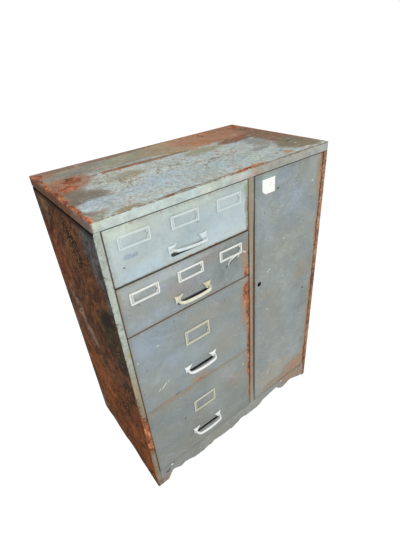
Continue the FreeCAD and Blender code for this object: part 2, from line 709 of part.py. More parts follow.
def make_label_holder(drawer, x):
    size = CARD_HOLDER if drawer["kind"] == "card" else FILE_HOLDER
    z = drawer["top"] - (CARD_HOLDER_DROP if drawer["kind"] == "card" else FILE_HOLDER_DROP)
    face = FRONT - HOLDER_THICKNESS
    half_width = size["width"] / 2
    half_height = size["height"] / 2
    frame = block(x - half_width, x + half_width, face, FRONT, z - half_height, z + half_height)
    frame = rounded(frame, HOLDER_EDGE_RADIUS, lambda p: near(p.y, face))
    window_right = x + half_width - size["end"]
    start = face - OVERRUN
    end = FRONT + OVERRUN
    window = block(x - half_width + size["end"], window_right, start, end,
                   z - half_height + size["rail"], z + half_height - size["rail"])
    notch = rod(HOLDER_NOTCH_RADIUS, Vector(window_right, start, z), Vector(window_right, end, z))
    return frame.cut([window, notch])


# Door

def make_door_panel():
    pan = front_pan(DOOR_LEFT, DOOR_RIGHT, DOOR_BOTTOM, DOOR_TOP, DOOR_DEPTH, BODY_GAUGE,
                    FRONT_EDGE_RADIUS, FRONT_EDGE_RADIUS)
    hole_radius = PIVOT_RADIUS + PIVOT_HOLE_CLEARANCE
    return pan.cut([
        lock_rod(LOCK_HOLE_RADIUS, FRONT - OVERRUN, FRONT + BODY_GAUGE + OVERRUN),
        pivot_rod(hole_radius, DOOR_BOTTOM - OVERRUN, DOOR_BOTTOM + BODY_GAUGE + OVERRUN),
        pivot_rod(hole_radius, DOOR_TOP - BODY_GAUGE - OVERRUN, DOOR_TOP + OVERRUN),
    ])


def make_door_inner_panel():
    back = FRONT + DOOR_DEPTH
    panel = block(DOOR_LEFT + BODY_GAUGE, DOOR_RIGHT - BODY_GAUGE, back - BODY_GAUGE, back,
                  DOOR_BOTTOM + BODY_GAUGE, DOOR_TOP - BODY_GAUGE)
    return panel.cut(lock_rod(LOCK_HOLE_RADIUS, back - BODY_GAUGE - OVERRUN, back + OVERRUN))


def make_door_pivot_blocks():
    right = DOOR_RIGHT - BODY_GAUGE
    front = FRONT + BODY_GAUGE
    floor = DOOR_BOTTOM + BODY_GAUGE
    ceiling = DOOR_TOP - BODY_GAUGE
    blocks = []
    for low, end in ((floor, floor), (ceiling - PIVOT_BLOCK_HEIGHT, ceiling)):
        high = low + PIVOT_BLOCK_HEIGHT
        body = block(right - PIVOT_BLOCK_WIDTH, right, front, front + PIVOT_BLOCK_DEPTH, low, high)
        body = rounded(body, PIVOT_BLOCK_EDGE, lambda p: near(p.x, right) and near(p.y, front))
        body = rounded(body, PIVOT_BLOCK_EDGE, lambda p: near(p.y, front) and near(p.z, end))
        blocks.append(body.cut(pivot_rod(PIVOT_RADIUS + FIT_CLEARANCE, low - OVERRUN, high + OVERRUN)))
    return Part.makeCompound(blocks)


def make_door_pivot_plates():
    left = PIVOT_X - PIVOT_PLATE_WIDTH / 2
    right = BAY_RIGHT - SHEET_CLEARANCE
    front = FRONT + BODY_GAUGE
    back = FRONT + LID_HEM
    plates = []
    for low in (BASE_HEIGHT - BODY_GAUGE - PIVOT_PLATE_THICKNESS, LID_BOTTOM + BODY_GAUGE):
        high = low + PIVOT_PLATE_THICKNESS
        plate = block(left, right, front, back, low, high)
        plates.append(plate.cut(pivot_rod(PIVOT_RADIUS + FIT_CLEARANCE, low - OVERRUN, high + OVERRUN)))
    return Part.makeCompound(plates)


def make_door_pivot_pins():
    plate_low = BASE_HEIGHT - BODY_GAUGE - PIVOT_PLATE_THICKNESS
    plate_high = LID_BOTTOM + BODY_GAUGE + PIVOT_PLATE_THICKNESS
    reach = BODY_GAUGE + PIVOT_BLOCK_HEIGHT - FIT_CLEARANCE
    lower = joined([
        pivot_rod(PIVOT_RADIUS, plate_low, DOOR_BOTTOM + reach),
        pivot_rod(PIVOT_HEAD_RADIUS, plate_low - PIVOT_HEAD_HEIGHT, plate_low),
        pivot_rod(PIVOT_COLLAR_RADIUS, BASE_HEIGHT, DOOR_BOTTOM - SHEET_CLEARANCE),
    ])
    upper = joined([
        pivot_rod(PIVOT_RADIUS, DOOR_TOP - reach, plate_high),
        pivot_rod(PIVOT_HEAD_RADIUS, plate_high, plate_high + PIVOT_HEAD_HEIGHT),
    ])
    return Part.makeCompound([lower, upper])


def make_lock_housing():
    start = FRONT + LOCK_HOUSING_RECESS
    end = FRONT + DOOR_DEPTH
    outer = LOCK_HOLE_RADIUS - FIT_CLEARANCE
    flange_start = FRONT + BODY_GAUGE
    body = joined([
        lock_rod(outer, start, end),
        lock_rod(LOCK_FLANGE_RADIUS, flange_start, flange_start + LOCK_FLANGE_THICKNESS),
    ])
    return body.cut(lock_rod(outer - LOCK_WALL, start - OVERRUN, end + OVERRUN))


def make_lock_plug():
    radius = LOCK_HOLE_RADIUS - LOCK_WALL - 2 * FIT_CLEARANCE
    start = FRONT + LOCK_PLUG_RECESS
    shoulder = FRONT + DOOR_DEPTH + CAM_CLEARANCE
    half = CAM_SQUARE / 2
    half_width = KEYWAY_WIDTH / 2
    half_height = KEYWAY_HEIGHT / 2
    square = block(LOCK_X - half, LOCK_X + half, shoulder, shoulder + CAM_THICKNESS,
                   LOCK_HEIGHT - half, LOCK_HEIGHT + half)
    plug = joined([lock_rod(radius, start, shoulder), square])
    keyway = block(LOCK_X - half_width, LOCK_X + half_width, start - OVERRUN, start + KEYWAY_DEPTH,
                   LOCK_HEIGHT - half_height, LOCK_HEIGHT + half_height)
    return plug.cut(keyway)


def make_lock_cam():
    start = FRONT + DOOR_DEPTH + CAM_CLEARANCE
    end = start + CAM_THICKNESS
    half = CAM_WIDTH / 2
    square = CAM_SQUARE / 2
    arm = joined([
        lock_rod(half, start, end),
        block(LOCK_X - half, LOCK_X + half, start, end, LOCK_HEIGHT - CAM_REACH, LOCK_HEIGHT),
    ])
    return arm.cut(block(LOCK_X - square, LOCK_X + square, start - OVERRUN, end + OVERRUN,
                         LOCK_HEIGHT - square, LOCK_HEIGHT + square))


def make_sticker():
    x0 = DOOR_LEFT + STICKER_FROM_DOOR_EDGE
    x1 = x0 + STICKER_WIDTH
    z1 = LID_BOTTOM - STICKER_DROP
    z0 = z1 - STICKER_HEIGHT
    cut = STICKER_CORNER
    face = FRONT - STICKER_THICKNESS
    outline = Part.makePolygon([
        Vector(x0, face, z0 + cut), Vector(x0 + cut, face, z0), Vector(x1, face, z0),
        Vector(x1, face, z1), Vector(x0, face, z1), Vector(x0, face, z0 + cut)])
    return Part.Face(outline).extrude(Vector(0, STICKER_THICKNESS, 0))


# Shelves

def shelf_level(index):
    return LID_BOTTOM - index * SHELF_STEP


def standard_walls():
    # The two bay walls, each with the direction that points into the bay.
    return ((BAY_INNER_LEFT, 1), (BAY_INNER_RIGHT, -1))


def make_shelf_standards():
    low = BASE_HEIGHT + STANDARD_END_CLEARANCE
    high = GROOVE_BOTTOM - BODY_GAUGE - STANDARD_END_CLEARANCE
    half = STANDARD_WIDTH / 2
    half_slot = STANDARD_SLOT_WIDTH / 2
    half_height = STANDARD_SLOT_HEIGHT / 2
    hook_drop = BODY_GAUGE + CLIP_THICKNESS / 2
    count = int((high - low) / SLOT_PITCH)
    standards = []
    for wall, inward in standard_walls():
        x0, x1 = sorted((wall, wall + inward * STANDARD_THICKNESS))
        for y in (STANDARD_FRONT_Y, STANDARD_BACK_Y):
            slots = []
            for index in range(-count, count + 1):
                z = shelf_level((SHELF_COUNT + 1) / 2) - hook_drop + index * SLOT_PITCH
                if low + STANDARD_SLOT_HEIGHT < z < high - STANDARD_SLOT_HEIGHT:
                    slots.append(block(x0 - OVERRUN, x1 + OVERRUN, y - half_slot, y + half_slot,
                                       z - half_height, z + half_height))
            standards.append(block(x0, x1, y - half, y + half, low, high).cut(slots))
    return Part.makeCompound(standards)


def make_shelf(index):
    top = shelf_level(index)
    x0 = BAY_INNER_LEFT + STANDARD_THICKNESS + SHELF_SIDE_CLEARANCE
    x1 = BAY_INNER_RIGHT - STANDARD_THICKNESS - SHELF_SIDE_CLEARANCE
    front = FRONT + SHELF_FRONT_SETBACK
    back = PANEL_FRONT - SHELF_BACK_CLEARANCE
    return joined([
        block(x0, x1, front, back, top - BODY_GAUGE, top),
        block(x0, x1, front, front + BODY_GAUGE, top - SHELF_FLANGE, top),
        block(x0, x1, back - BODY_GAUGE, back, top - SHELF_FLANGE, top),
    ])


def make_shelf_clips():
    clips = []
    half = CLIP_WIDTH / 2
    half_hook = (STANDARD_SLOT_WIDTH - 2 * SHEET_CLEARANCE) / 2
    for index in range(1, SHELF_COUNT + 1):
        seat = shelf_level(index) - BODY_GAUGE
        for wall, inward in standard_walls():
            face = wall + inward * STANDARD_THICKNESS
            tip0, tip1 = sorted((face, face + inward * CLIP_REACH))
            leg0, leg1 = sorted((face, face + inward * CLIP_THICKNESS))
            hook0, hook1 = sorted((wall, face))
            for y in (STANDARD_FRONT_Y, STANDARD_BACK_Y):
                clips.append(joined([
                    block(tip0, tip1, y - half, y + half, seat - CLIP_THICKNESS, seat),
                    block(leg0, leg1, y - half, y + half, seat - CLIP_LEG, seat),
                    block(hook0, hook1, y - half_hook, y + half_hook, seat - CLIP_THICKNESS, seat),
                ]))
    return Part.makeCompound(clips)


# The nodes

def build_nodes():
    left_side = make_left_side_panel()
    nodes = {
        "top_panel": make_top_panel(),
        "left_side_panel": left_side,
        "right_side_panel": mirrored(left_side, 0),
        "back_panel": make_back_panel(),
        "back_panel_screws": make_back_panel_screws(),
        "bottom_panel": make_bottom_panel(),
        "base_rail_front": make_base_rail_front(),
        "base_rail_back": make_base_rail_back(),
        "centre_partition": make_centre_partition(),
        "drawer_cross_rails": make_drawer_cross_rails(),
        "shelf_standards": make_shelf_standards(),
        "shelf_clips": make_shelf_clips(),
        "door_panel": make_door_panel(),
        "door_inner_panel": make_door_inner_panel(),
        "door_pivot_blocks": make_door_pivot_blocks(),
        "door_pivot_plates": make_door_pivot_plates(),
        "door_pivot_pins": make_door_pivot_pins(),
        "door_sticker": make_sticker(),
        "lock_housing": make_lock_housing(),
        "lock_plug": make_lock_plug(),
        "lock_cam": make_lock_cam(),
    }
    for index in range(1, SHELF_COUNT + 1):
        nodes["shelf_%d" % index] = make_shelf(index)
    for drawer in DRAWERS:
        name = drawer["name"]
        nodes["cabinet_runners_" + name[-1]] = make_cabinet_runners(drawer)
        nodes[name + "_front"] = make_drawer_front(drawer)
        nodes[name + "_tray"] = make_tray(drawer)
        nodes[name + "_runners"] = make_drawer_runners(drawer)
        nodes[name + "_handle"] = make_handle(drawer)
        nodes[name + "_handle_screws"] = make_handle_screws(drawer)
        if drawer["kind"] == "card":
            nodes[name + "_dividers"] = make_dividers(drawer)
            for place, side in (("left", -1), ("middle", 0), ("right", 1)):
                x = DRAWERS_MIDDLE + side * CARD_HOLDER_SPACING
                nodes[name + "_label_holder_" + place] = make_label_holder(drawer, x)
        else:
            nodes["slide_members_" + name[-1]] = make_slide_members(drawer)
            nodes[name + "_label_holder"] = make_label_holder(drawer, DRAWERS_MIDDLE)
    return nodes


os.makedirs("parts", exist_ok=True)
for node, solid in build_nodes().items():
    export(node, solid)
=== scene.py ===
import json
from math import atan2, cos, exp, hypot, pi, radians, sin, sqrt, tau

import bmesh
import bpy
from mathutils import Matrix, Vector, noise


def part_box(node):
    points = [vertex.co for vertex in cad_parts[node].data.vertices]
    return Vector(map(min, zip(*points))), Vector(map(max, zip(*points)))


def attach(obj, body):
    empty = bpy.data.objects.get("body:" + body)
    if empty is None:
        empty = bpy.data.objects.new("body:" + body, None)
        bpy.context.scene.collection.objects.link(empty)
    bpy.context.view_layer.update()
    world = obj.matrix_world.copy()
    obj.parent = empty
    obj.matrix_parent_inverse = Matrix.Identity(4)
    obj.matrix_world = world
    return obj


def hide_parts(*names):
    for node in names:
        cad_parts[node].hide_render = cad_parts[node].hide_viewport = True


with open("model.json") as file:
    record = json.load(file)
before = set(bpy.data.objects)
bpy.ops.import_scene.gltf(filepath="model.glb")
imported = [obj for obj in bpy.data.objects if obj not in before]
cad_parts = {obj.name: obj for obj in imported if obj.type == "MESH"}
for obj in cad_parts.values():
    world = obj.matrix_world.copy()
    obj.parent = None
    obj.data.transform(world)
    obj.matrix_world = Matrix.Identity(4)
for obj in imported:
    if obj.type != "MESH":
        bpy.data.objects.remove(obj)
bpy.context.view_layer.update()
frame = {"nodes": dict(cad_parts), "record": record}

# A worn steel filing cabinet: enamelled sheet metal with rust along its edges, cream handles and label
# frames. Everything is in metres. Sizes come from the boxes of the cabinet's own pieces.

MM = 0.001
(LEFT, FRONT, LID_BOTTOM), (RIGHT, BACK, TOP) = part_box("top_panel")
(DRAWERS_LEFT, _, _), (BAY_RIGHT, _, BASE_TOP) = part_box("base_rail_front")
DRAWERS_MIDDLE = (DRAWERS_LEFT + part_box("centre_partition")[0].x) / 2
GROOVE_BOTTOM = 982 * MM
SHEET = 1.2 * MM
FOLD_RADIUS = 2.5 * MM
STILE = 17 * MM
CUT_REACH = 10 * MM
EAR_HEIGHTS = {"drawer_1": 0.8907, "drawer_2": 0.7382, "drawer_3": 0.471, "drawer_4": 0.166}

# Where the photograph was taken from
CAMERA_PLACE = (-0.5907, -0.8823, 1.3142)
CAMERA_HEADING = radians(34.485)
CAMERA_TILT = radians(-32.274)
CAMERA_ROLL = radians(5.298)
CAMERA_LENS = 32.85
CAMERA_SENSOR = 36.0


# Meshes

def link(name, data):
    """Adds a mesh, a lamp or a camera to the scene."""
    piece = bpy.data.objects.new(name, data)
    bpy.context.scene.collection.objects.link(piece)
    return piece


def finish_mesh(name, verts, faces, smooth=True):
    mesh = bpy.data.meshes.new(name)
    mesh.from_pydata([tuple(v) for v in verts], [], faces)
    mesh.validate()
    mesh.polygons.foreach_set("use_smooth", [smooth] * len(mesh.polygons))
    return link(name, mesh)


def from_work(name, work):
    """Makes a piece of a mesh that was put together in work."""
    mesh = bpy.data.meshes.new(name)
    work.to_mesh(mesh)
    work.free()
    return link(name, mesh)


def rework(piece, change):
    """Lets change(work) alter a piece's mesh."""
    work = bmesh.new()
    work.from_mesh(piece.data)
    change(work)
    work.to_mesh(piece.data)
    work.free()
    return piece


def face_outward(work):
    bmesh.ops.recalc_face_normals(work, faces=work.faces)


def settle(piece):
    """Applies a piece's modifiers."""
    bpy.context.view_layer.update()
    depsgraph = bpy.context.evaluated_depsgraph_get()
    solid = bpy.data.meshes.new_from_object(piece.evaluated_get(depsgraph))
    piece.modifiers.clear()
    old = piece.data
    piece.data = solid
    bpy.data.meshes.remove(old)
    solid.name = piece.name
    return piece


def modify(piece, kind, **settings):
    """Applies one new modifier."""
    added = piece.modifiers.new(kind.lower(), kind)
    for key, value in settings.items():
        setattr(added, key, value)
    return settle(piece)


def rest_on_floor(piece):
    for vert in piece.data.vertices:
        vert.co.z = max(0.0, vert.co.z)
    return piece


def thicken(piece, gauge=SHEET):
    return modify(piece, "SOLIDIFY", thickness=gauge, offset=-1.0, use_even_offset=True)


def cut(piece, cutter):
    modify(piece, "BOOLEAN", operation="DIFFERENCE", solver="EXACT", object=cutter)
    bpy.data.objects.remove(cutter)


def by_angle(piece, degrees=35):
    """Smooth shading that keeps sharp folds."""
    limit = radians(degrees)

    def mark(work):
        for edge in work.edges:
            edge.smooth = len(edge.link_faces) == 2 and edge.calc_face_angle(0) < limit
        for face in work.faces:
            face.smooth = True
    return rework(piece, mark)


def join(name, pieces):
    """Makes one piece of several."""
    work = bmesh.new()
    for piece in pieces:
        mesh = piece.data
        work.from_mesh(mesh)
        bpy.data.objects.remove(piece)
        bpy.data.meshes.remove(mesh)
    return from_work(name, work)


def done(piece, node, finish=None):
    """Gives a piece its finish and puts it in the place of a solid, whose body it rides on."""
    if finish:
        piece.data.materials.clear()
        piece.data.materials.append(finish)
    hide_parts(node)
    bodies = frame["record"]["behaviour"]["bodies"]
    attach(piece, next(body for body, members in bodies.items() if node in members))


def bar(name, low, high):
    """A straight strip of sheet with softened edges."""
    work = bmesh.new()
    bmesh.ops.create_cube(work, size=1.0)
    bmesh.ops.scale(work, vec=Vector(high) - Vector(low), verts=work.verts)
    bmesh.ops.translate(work, vec=(Vector(high) + Vector(low)) / 2, verts=work.verts)
    bmesh.ops.bevel(work, geom=work.edges[:], offset=0.3 * MM, segments=1, affect="EDGES")
    return from_work(name, work)


def spread(start, end, step):
    """Evenly spaced values from start to end, about step apart."""
    count = max(1, round(abs(end - start) / step))
    return [start + (end - start) * i / count for i in range(count + 1)]


def quarter(count):
    return [pi / 2 * i / count for i in range(count + 1)]


def grid_faces(columns, rows):
    faces = []
    for i in range(columns - 1):
        for j in range(rows - 1):
            a = i * rows + j
            faces.append((a, a + 1, a + rows + 1, a + rows))
    return faces


def prism(ring, low, high):
    """A cutter: an outline of (x, z) points drawn from one depth to another."""
    count = len(ring)
    verts = [(x, y, z) for y in (low, high) for x, z in ring]
    faces = [tuple(range(count)), tuple(range(2 * count - 1, count - 1, -1))]
    faces += [(i, i + count, (i + 1) % count + count, (i + 1) % count) for i in range(count)]
    return finish_mesh("cutter", verts, faces, False)


def tube(x, z, radius, low=FRONT - CUT_REACH, high=FRONT + CUT_REACH, sides=32):
    turns = [tau * k / sides for k in range(sides)]
    return prism([(x + radius * cos(t), z + radius * sin(t)) for t in turns], low, high)


def pan(name, u0, u1, v0, v1, place, depth, radius, foot_radius, step, dent):
    """A folded pan. place(u, v, w) puts a point: u across, v up the face and w into the pan.
    dent(u, v) says how far the face is pushed in."""
    path = [(v1, w, 1.0, 0.0) for w in spread(depth, radius, depth)]
    for t in quarter(4)[1:]:
        path.append((v1 - radius + radius * cos(t), radius - radius * sin(t), cos(t), -sin(t)))
    for v in spread(v1 - radius, v0 + foot_radius, step)[1:]:
        path.append((v, 0.0, 0.0, -1.0))
    for t in quarter(6)[1:]:
        path.append((v0 + foot_radius - foot_radius * sin(t), foot_radius - foot_radius * cos(t),
                     -sin(t), -cos(t)))
    path.append((v0, depth, -1.0, 0.0))
    rounding = [(radius * (1 - cos(t)), radius * (1 - sin(t))) for t in quarter(4)]
    across = [(u0 + u, w) for u, w in rounding]
    across += [(u, 0.0) for u in spread(u0 + radius, u1 - radius, step)[1:]]
    across += [(u1 - u, w) for u, w in rounding[-2::-1]]
    verts = []
    for u, inset in across:
        for v, w, nv, nw in path:
            push = inset + (dent(u, v) if nw < -0.99 and inset == 0.0 else 0.0)
            verts.append(place(u, v - nv * push, w - nw * push))
    rows = len(path)
    faces = grid_faces(len(across), rows)
    faces.append(tuple(range(rows - 1, -1, -1)))
    last = (len(across) - 1) * rows
    faces.append(tuple(range(last, last + rows)))
    return thicken(finish_mesh(name, verts, faces))


def edge_fade(value, low, high, width):
    """0 at both ends of a span, 1 away from them."""
    share = min(1.0, max(0.0, min(value - low, high - value) / width))
    return share * share * (3 - 2 * share)


def waves(x, y, seed, size):
    """A slow unevenness from 0 to about 1."""
    return 0.5 + 0.5 * noise.fractal(Vector((x / size, y / size, seed)), 1.0, 2.0, 3)


# Materials

def tone(colour):
    """A colour given as it looks, from 0 to 255, made linear. Wires and linear colours stay as they are."""
    if not isinstance(colour, tuple) or len(colour) != 3:
        return colour
    shares = [value / 255 for value in colour]
    return (*[s / 12.92 if s <= 0.04045 else ((s + 0.055) / 1.055) ** 2.4 for s in shares], 1.0)


def wired(operation, flipped=False):
    """What an arithmetic sign between wires does: it adds a node."""
    def act(self, other):
        return self.math(operation, other, self) if flipped else self.math(operation, self, other)
    return act


class Wire:
    """A socket in a material. Sums written on wires become nodes."""

    def __init__(self, socket):
        self.socket = socket

    @staticmethod
    def node(tree, kind, settings=None, inputs=None, output=0):
        made = tree.nodes.new(kind)
        for key, value in (settings or {}).items():
            if key == "stops":
                elements = made.color_ramp.elements
                elements[1].position, elements[1].color = value[-1]
                elements[0].position, elements[0].color = value[0]
                for position, colour in value[1:-1]:
                    elements.new(position).color = colour
            else:
                setattr(made, key, value)
        for key, value in (inputs or {}).items():
            if isinstance(value, Wire):
                tree.links.new(value.socket, made.inputs[key])
            else:
                made.inputs[key].default_value = value
        return Wire(made.outputs[output]) if made.outputs else None

    def math(self, operation, a, b=0.0):
        return Wire.node(self.socket.id_data, "ShaderNodeMath", {"operation": operation}, {0: a, 1: b})

    __add__ = __radd__ = wired("ADD")
    __sub__ = wired("SUBTRACT")
    __rsub__ = wired("SUBTRACT", True)
    __mul__ = wired("MULTIPLY")
    # The larger and the smaller of two masks
    __or__ = wired("MAXIMUM")
    __and__ = wired("MINIMUM")

    def ramp(self, low, high, top=1.0):
        """0 below low, top above high and smooth between."""
        return Wire.node(self.socket.id_data, "ShaderNodeMapRange", {"interpolation_type": "SMOOTHSTEP"},
                         {0: self, 1: low, 2: high, 3: 0.0, 4: top})


ANY = 1e5


def spot(x, z, width, height, strength=1.0, turn=0.0, soft=0.75):
    """A patch on the front, placed from the left edge and the floor in millimetres."""
    return (x + LEFT / MM, 0, z), (width, ANY, height), (0, radians(-turn), 0), strength, soft


def lid_spot(x, y, width, depth, strength=1.0, turn=0.0, soft=0.75, height=ANY, drop=0):
    """A patch on the lid, placed from the left edge and the front in millimetres."""
    return ((x + LEFT / MM, y + FRONT / MM, TOP / MM - drop), (width, depth, height),
            (0, 0, radians(turn)), strength, soft)


def side_spot(from_front, z, depth, height, strength=1.0, turn=0.0, soft=0.75):
    """A patch on a side sheet, placed from the front and the floor in millimetres."""
    return (0, from_front + FRONT / MM, z), (ANY, depth, height), (radians(turn), 0, 0), strength, soft


class Finish:
    """One material under construction, with its coordinates in millimetres. Its colour is built up in
    layers. Patches are rows of values for at, which is one of the three functions above."""

    def __init__(self, name, paint=None, at=spot):
        self.material = bpy.data.materials.new(name)
        self.material.use_nodes = True
        self.tree = self.material.node_tree
        self.tree.nodes.clear()
        self.at = at
        self.colour = tone(paint)
        place = self.node("TexCoord", output="Object")
        self.point = self.node("VectorMath", {"operation": "SCALE"}, {0: place, "Scale": 1 / MM})
        self.x, self.y, self.z = [self.node("SeparateXYZ", None, {0: self.point}, k) for k in range(3)]

    def node(self, kind, settings=None, inputs=None, output=0):
        return Wire.node(self.tree, "ShaderNode" + kind, settings, inputs, output)

    def turned(self, centre=(0, 0, 0), turn=(0, 0, 0), size=(1, 1, 1), point=None):
        """The coordinates as seen from a place, turned and scaled."""
        inputs = {"Vector": point or self.point, "Location": centre, "Rotation": turn, "Scale": size}
        return self.node("Mapping", {"vector_type": "TEXTURE"}, inputs)

    def noise(self, at, detail, roughness, bend=0.0, output=0):
        return self.node("TexNoise", None, {"Vector": at, "Scale": 1.0, "Detail": detail,
                                                      "Roughness": roughness, "Distortion": bend}, output)

    def wandering(self, reach, size):
        """The coordinates pushed about, which gives patches uneven edges."""
        push = self.noise(self.turned((31, 7, 19), size=(size,) * 3), 5.0, 0.62, output="Color")
        push = self.node("VectorMath", {"operation": "SUBTRACT"}, {0: push, 1: (0.5, 0.5, 0.5)})
        return self.node("VectorMath", {"operation": "MULTIPLY_ADD"},
                         {0: push, 1: (reach * 2,) * 3, 2: self.point})

    def cloud(self, size, detail=4.0, roughness=0.55, seed=0.0, turn=(0, 0, 0), stretch=(1, 1, 1), bend=0.0):
        """Noise whose features are about size millimetres. bend swirls it."""
        at = self.turned((seed * 131.7, seed * 57.3, seed * 211.9), turn, tuple(size * s for s in stretch))
        return self.noise(at, detail, roughness, bend)

    def specks(self, size, seed, core, rim):
        """Small scattered dots, 1 inside core and 0 beyond rim."""
        at = self.turned((seed * 91.3, seed * 37.7, seed * 153.1), size=(size, size, size))
        cells = self.node("TexVoronoi", {"feature": "F1"}, {"Vector": at, "Scale": 1.0}, "Distance")
        return 1.0 - cells.ramp(core, rim)

    def cracks(self, size, seed, width, stretch=(1, 1, 1)):
        """Thin wandering lines, size millimetres apart."""
        sway = self.turned((seed * 17.1, seed, 0), size=(size * 0.8,) * 3)
        sway = self.noise(sway, 4.0, 0.6, output="Color")
        at = self.turned((seed * 61.3, seed * 27.7, seed * 93.1), size=tuple(size * s for s in stretch))
        bent = self.node("VectorMath", {"operation": "MULTIPLY_ADD"},
                         {0: sway, 1: (1.1, 1.1, 1.1), 2: at})
        gap = self.node("TexVoronoi", {"feature": "DISTANCE_TO_EDGE"}, {"Vector": bent, "Scale": 1.0},
                        "Distance")
        return 1.0 - gap.ramp(width * 0.3, width)

    def blot(self, row, point=None, at=None):
        """A patch that fades out at its radii."""
        centre, radii, turn, strength, soft = (at or self.at)(*row)
        near = self.node("TexGradient", {"gradient_type": "SPHERICAL"},
                         {"Vector": self.turned(centre, turn, radii, point)}, "Fac")
        return near.ramp(0.0, soft, strength)

    def blots(self, rows, point=None, at=None):
        field = self.blot(rows[0], point, at)
        for row in rows[1:]:
            field = field | self.blot(row, point, at)
        return field

    def mix(self, factor, a, b):
        return self.node("Mix", {"data_type": "RGBA"}, {0: factor, 6: tone(a), 7: tone(b)}, 2)

    def lay(self, mask, colour):
        """Covers what is there with a colour."""
        self.colour = self.mix(mask, self.colour, colour)

    def tinted(self, paint, value, *gains):
        """The paint, made darker or lighter by a value."""
        gain = self.palette(value, *[(*gain, 1.0) for gain in gains])
        return self.node("Mix", {"data_type": "RGBA", "blend_type": "MULTIPLY"},
                         {0: 1.0, 6: tone(paint), 7: gain}, 2)

    def tint(self, value, *gains):
        self.colour = self.tinted(self.colour, value, *gains)

    def palette(self, value, *colours):
        """A run of colours chosen by a value from 0 to 1."""
        last = len(colours) - 1
        stops = [(0.28 + 0.44 * i / last, tone(colour)) for i, colour in enumerate(colours)]
        return self.node("ValToRGB", {"stops": stops}, {0: value})

    def finish(self, roughness, height, distance, strength, specular=0.5, metallic=0.0):
        """Closes the material. height is raised by up to distance millimetres."""
        normal = self.node("Bump", None, {"Height": height, "Distance": distance * MM,
                                                    "Strength": strength}, "Normal")
        shader = self.node("BsdfPrincipled", None,
                           {"Base Color": self.colour, "Roughness": roughness, "Normal": normal,
                            "Specular IOR Level": specular, "Metallic": metallic})
        self.node("OutputMaterial", None, {"Surface": shader})
        return self.material


STAIN = (150, 128, 104)
RUST = ((50, 33, 25), (84, 55, 39), (120, 76, 52), (152, 97, 60), (176, 132, 100))
BRIGHT_RUST = ((84, 54, 42), (126, 78, 56), (160, 96, 66), (184, 112, 76), (200, 150, 116))
DUSTY_RUST = ((80, 56, 46), (118, 84, 66), (150, 106, 82), (174, 128, 100), (192, 158, 134))

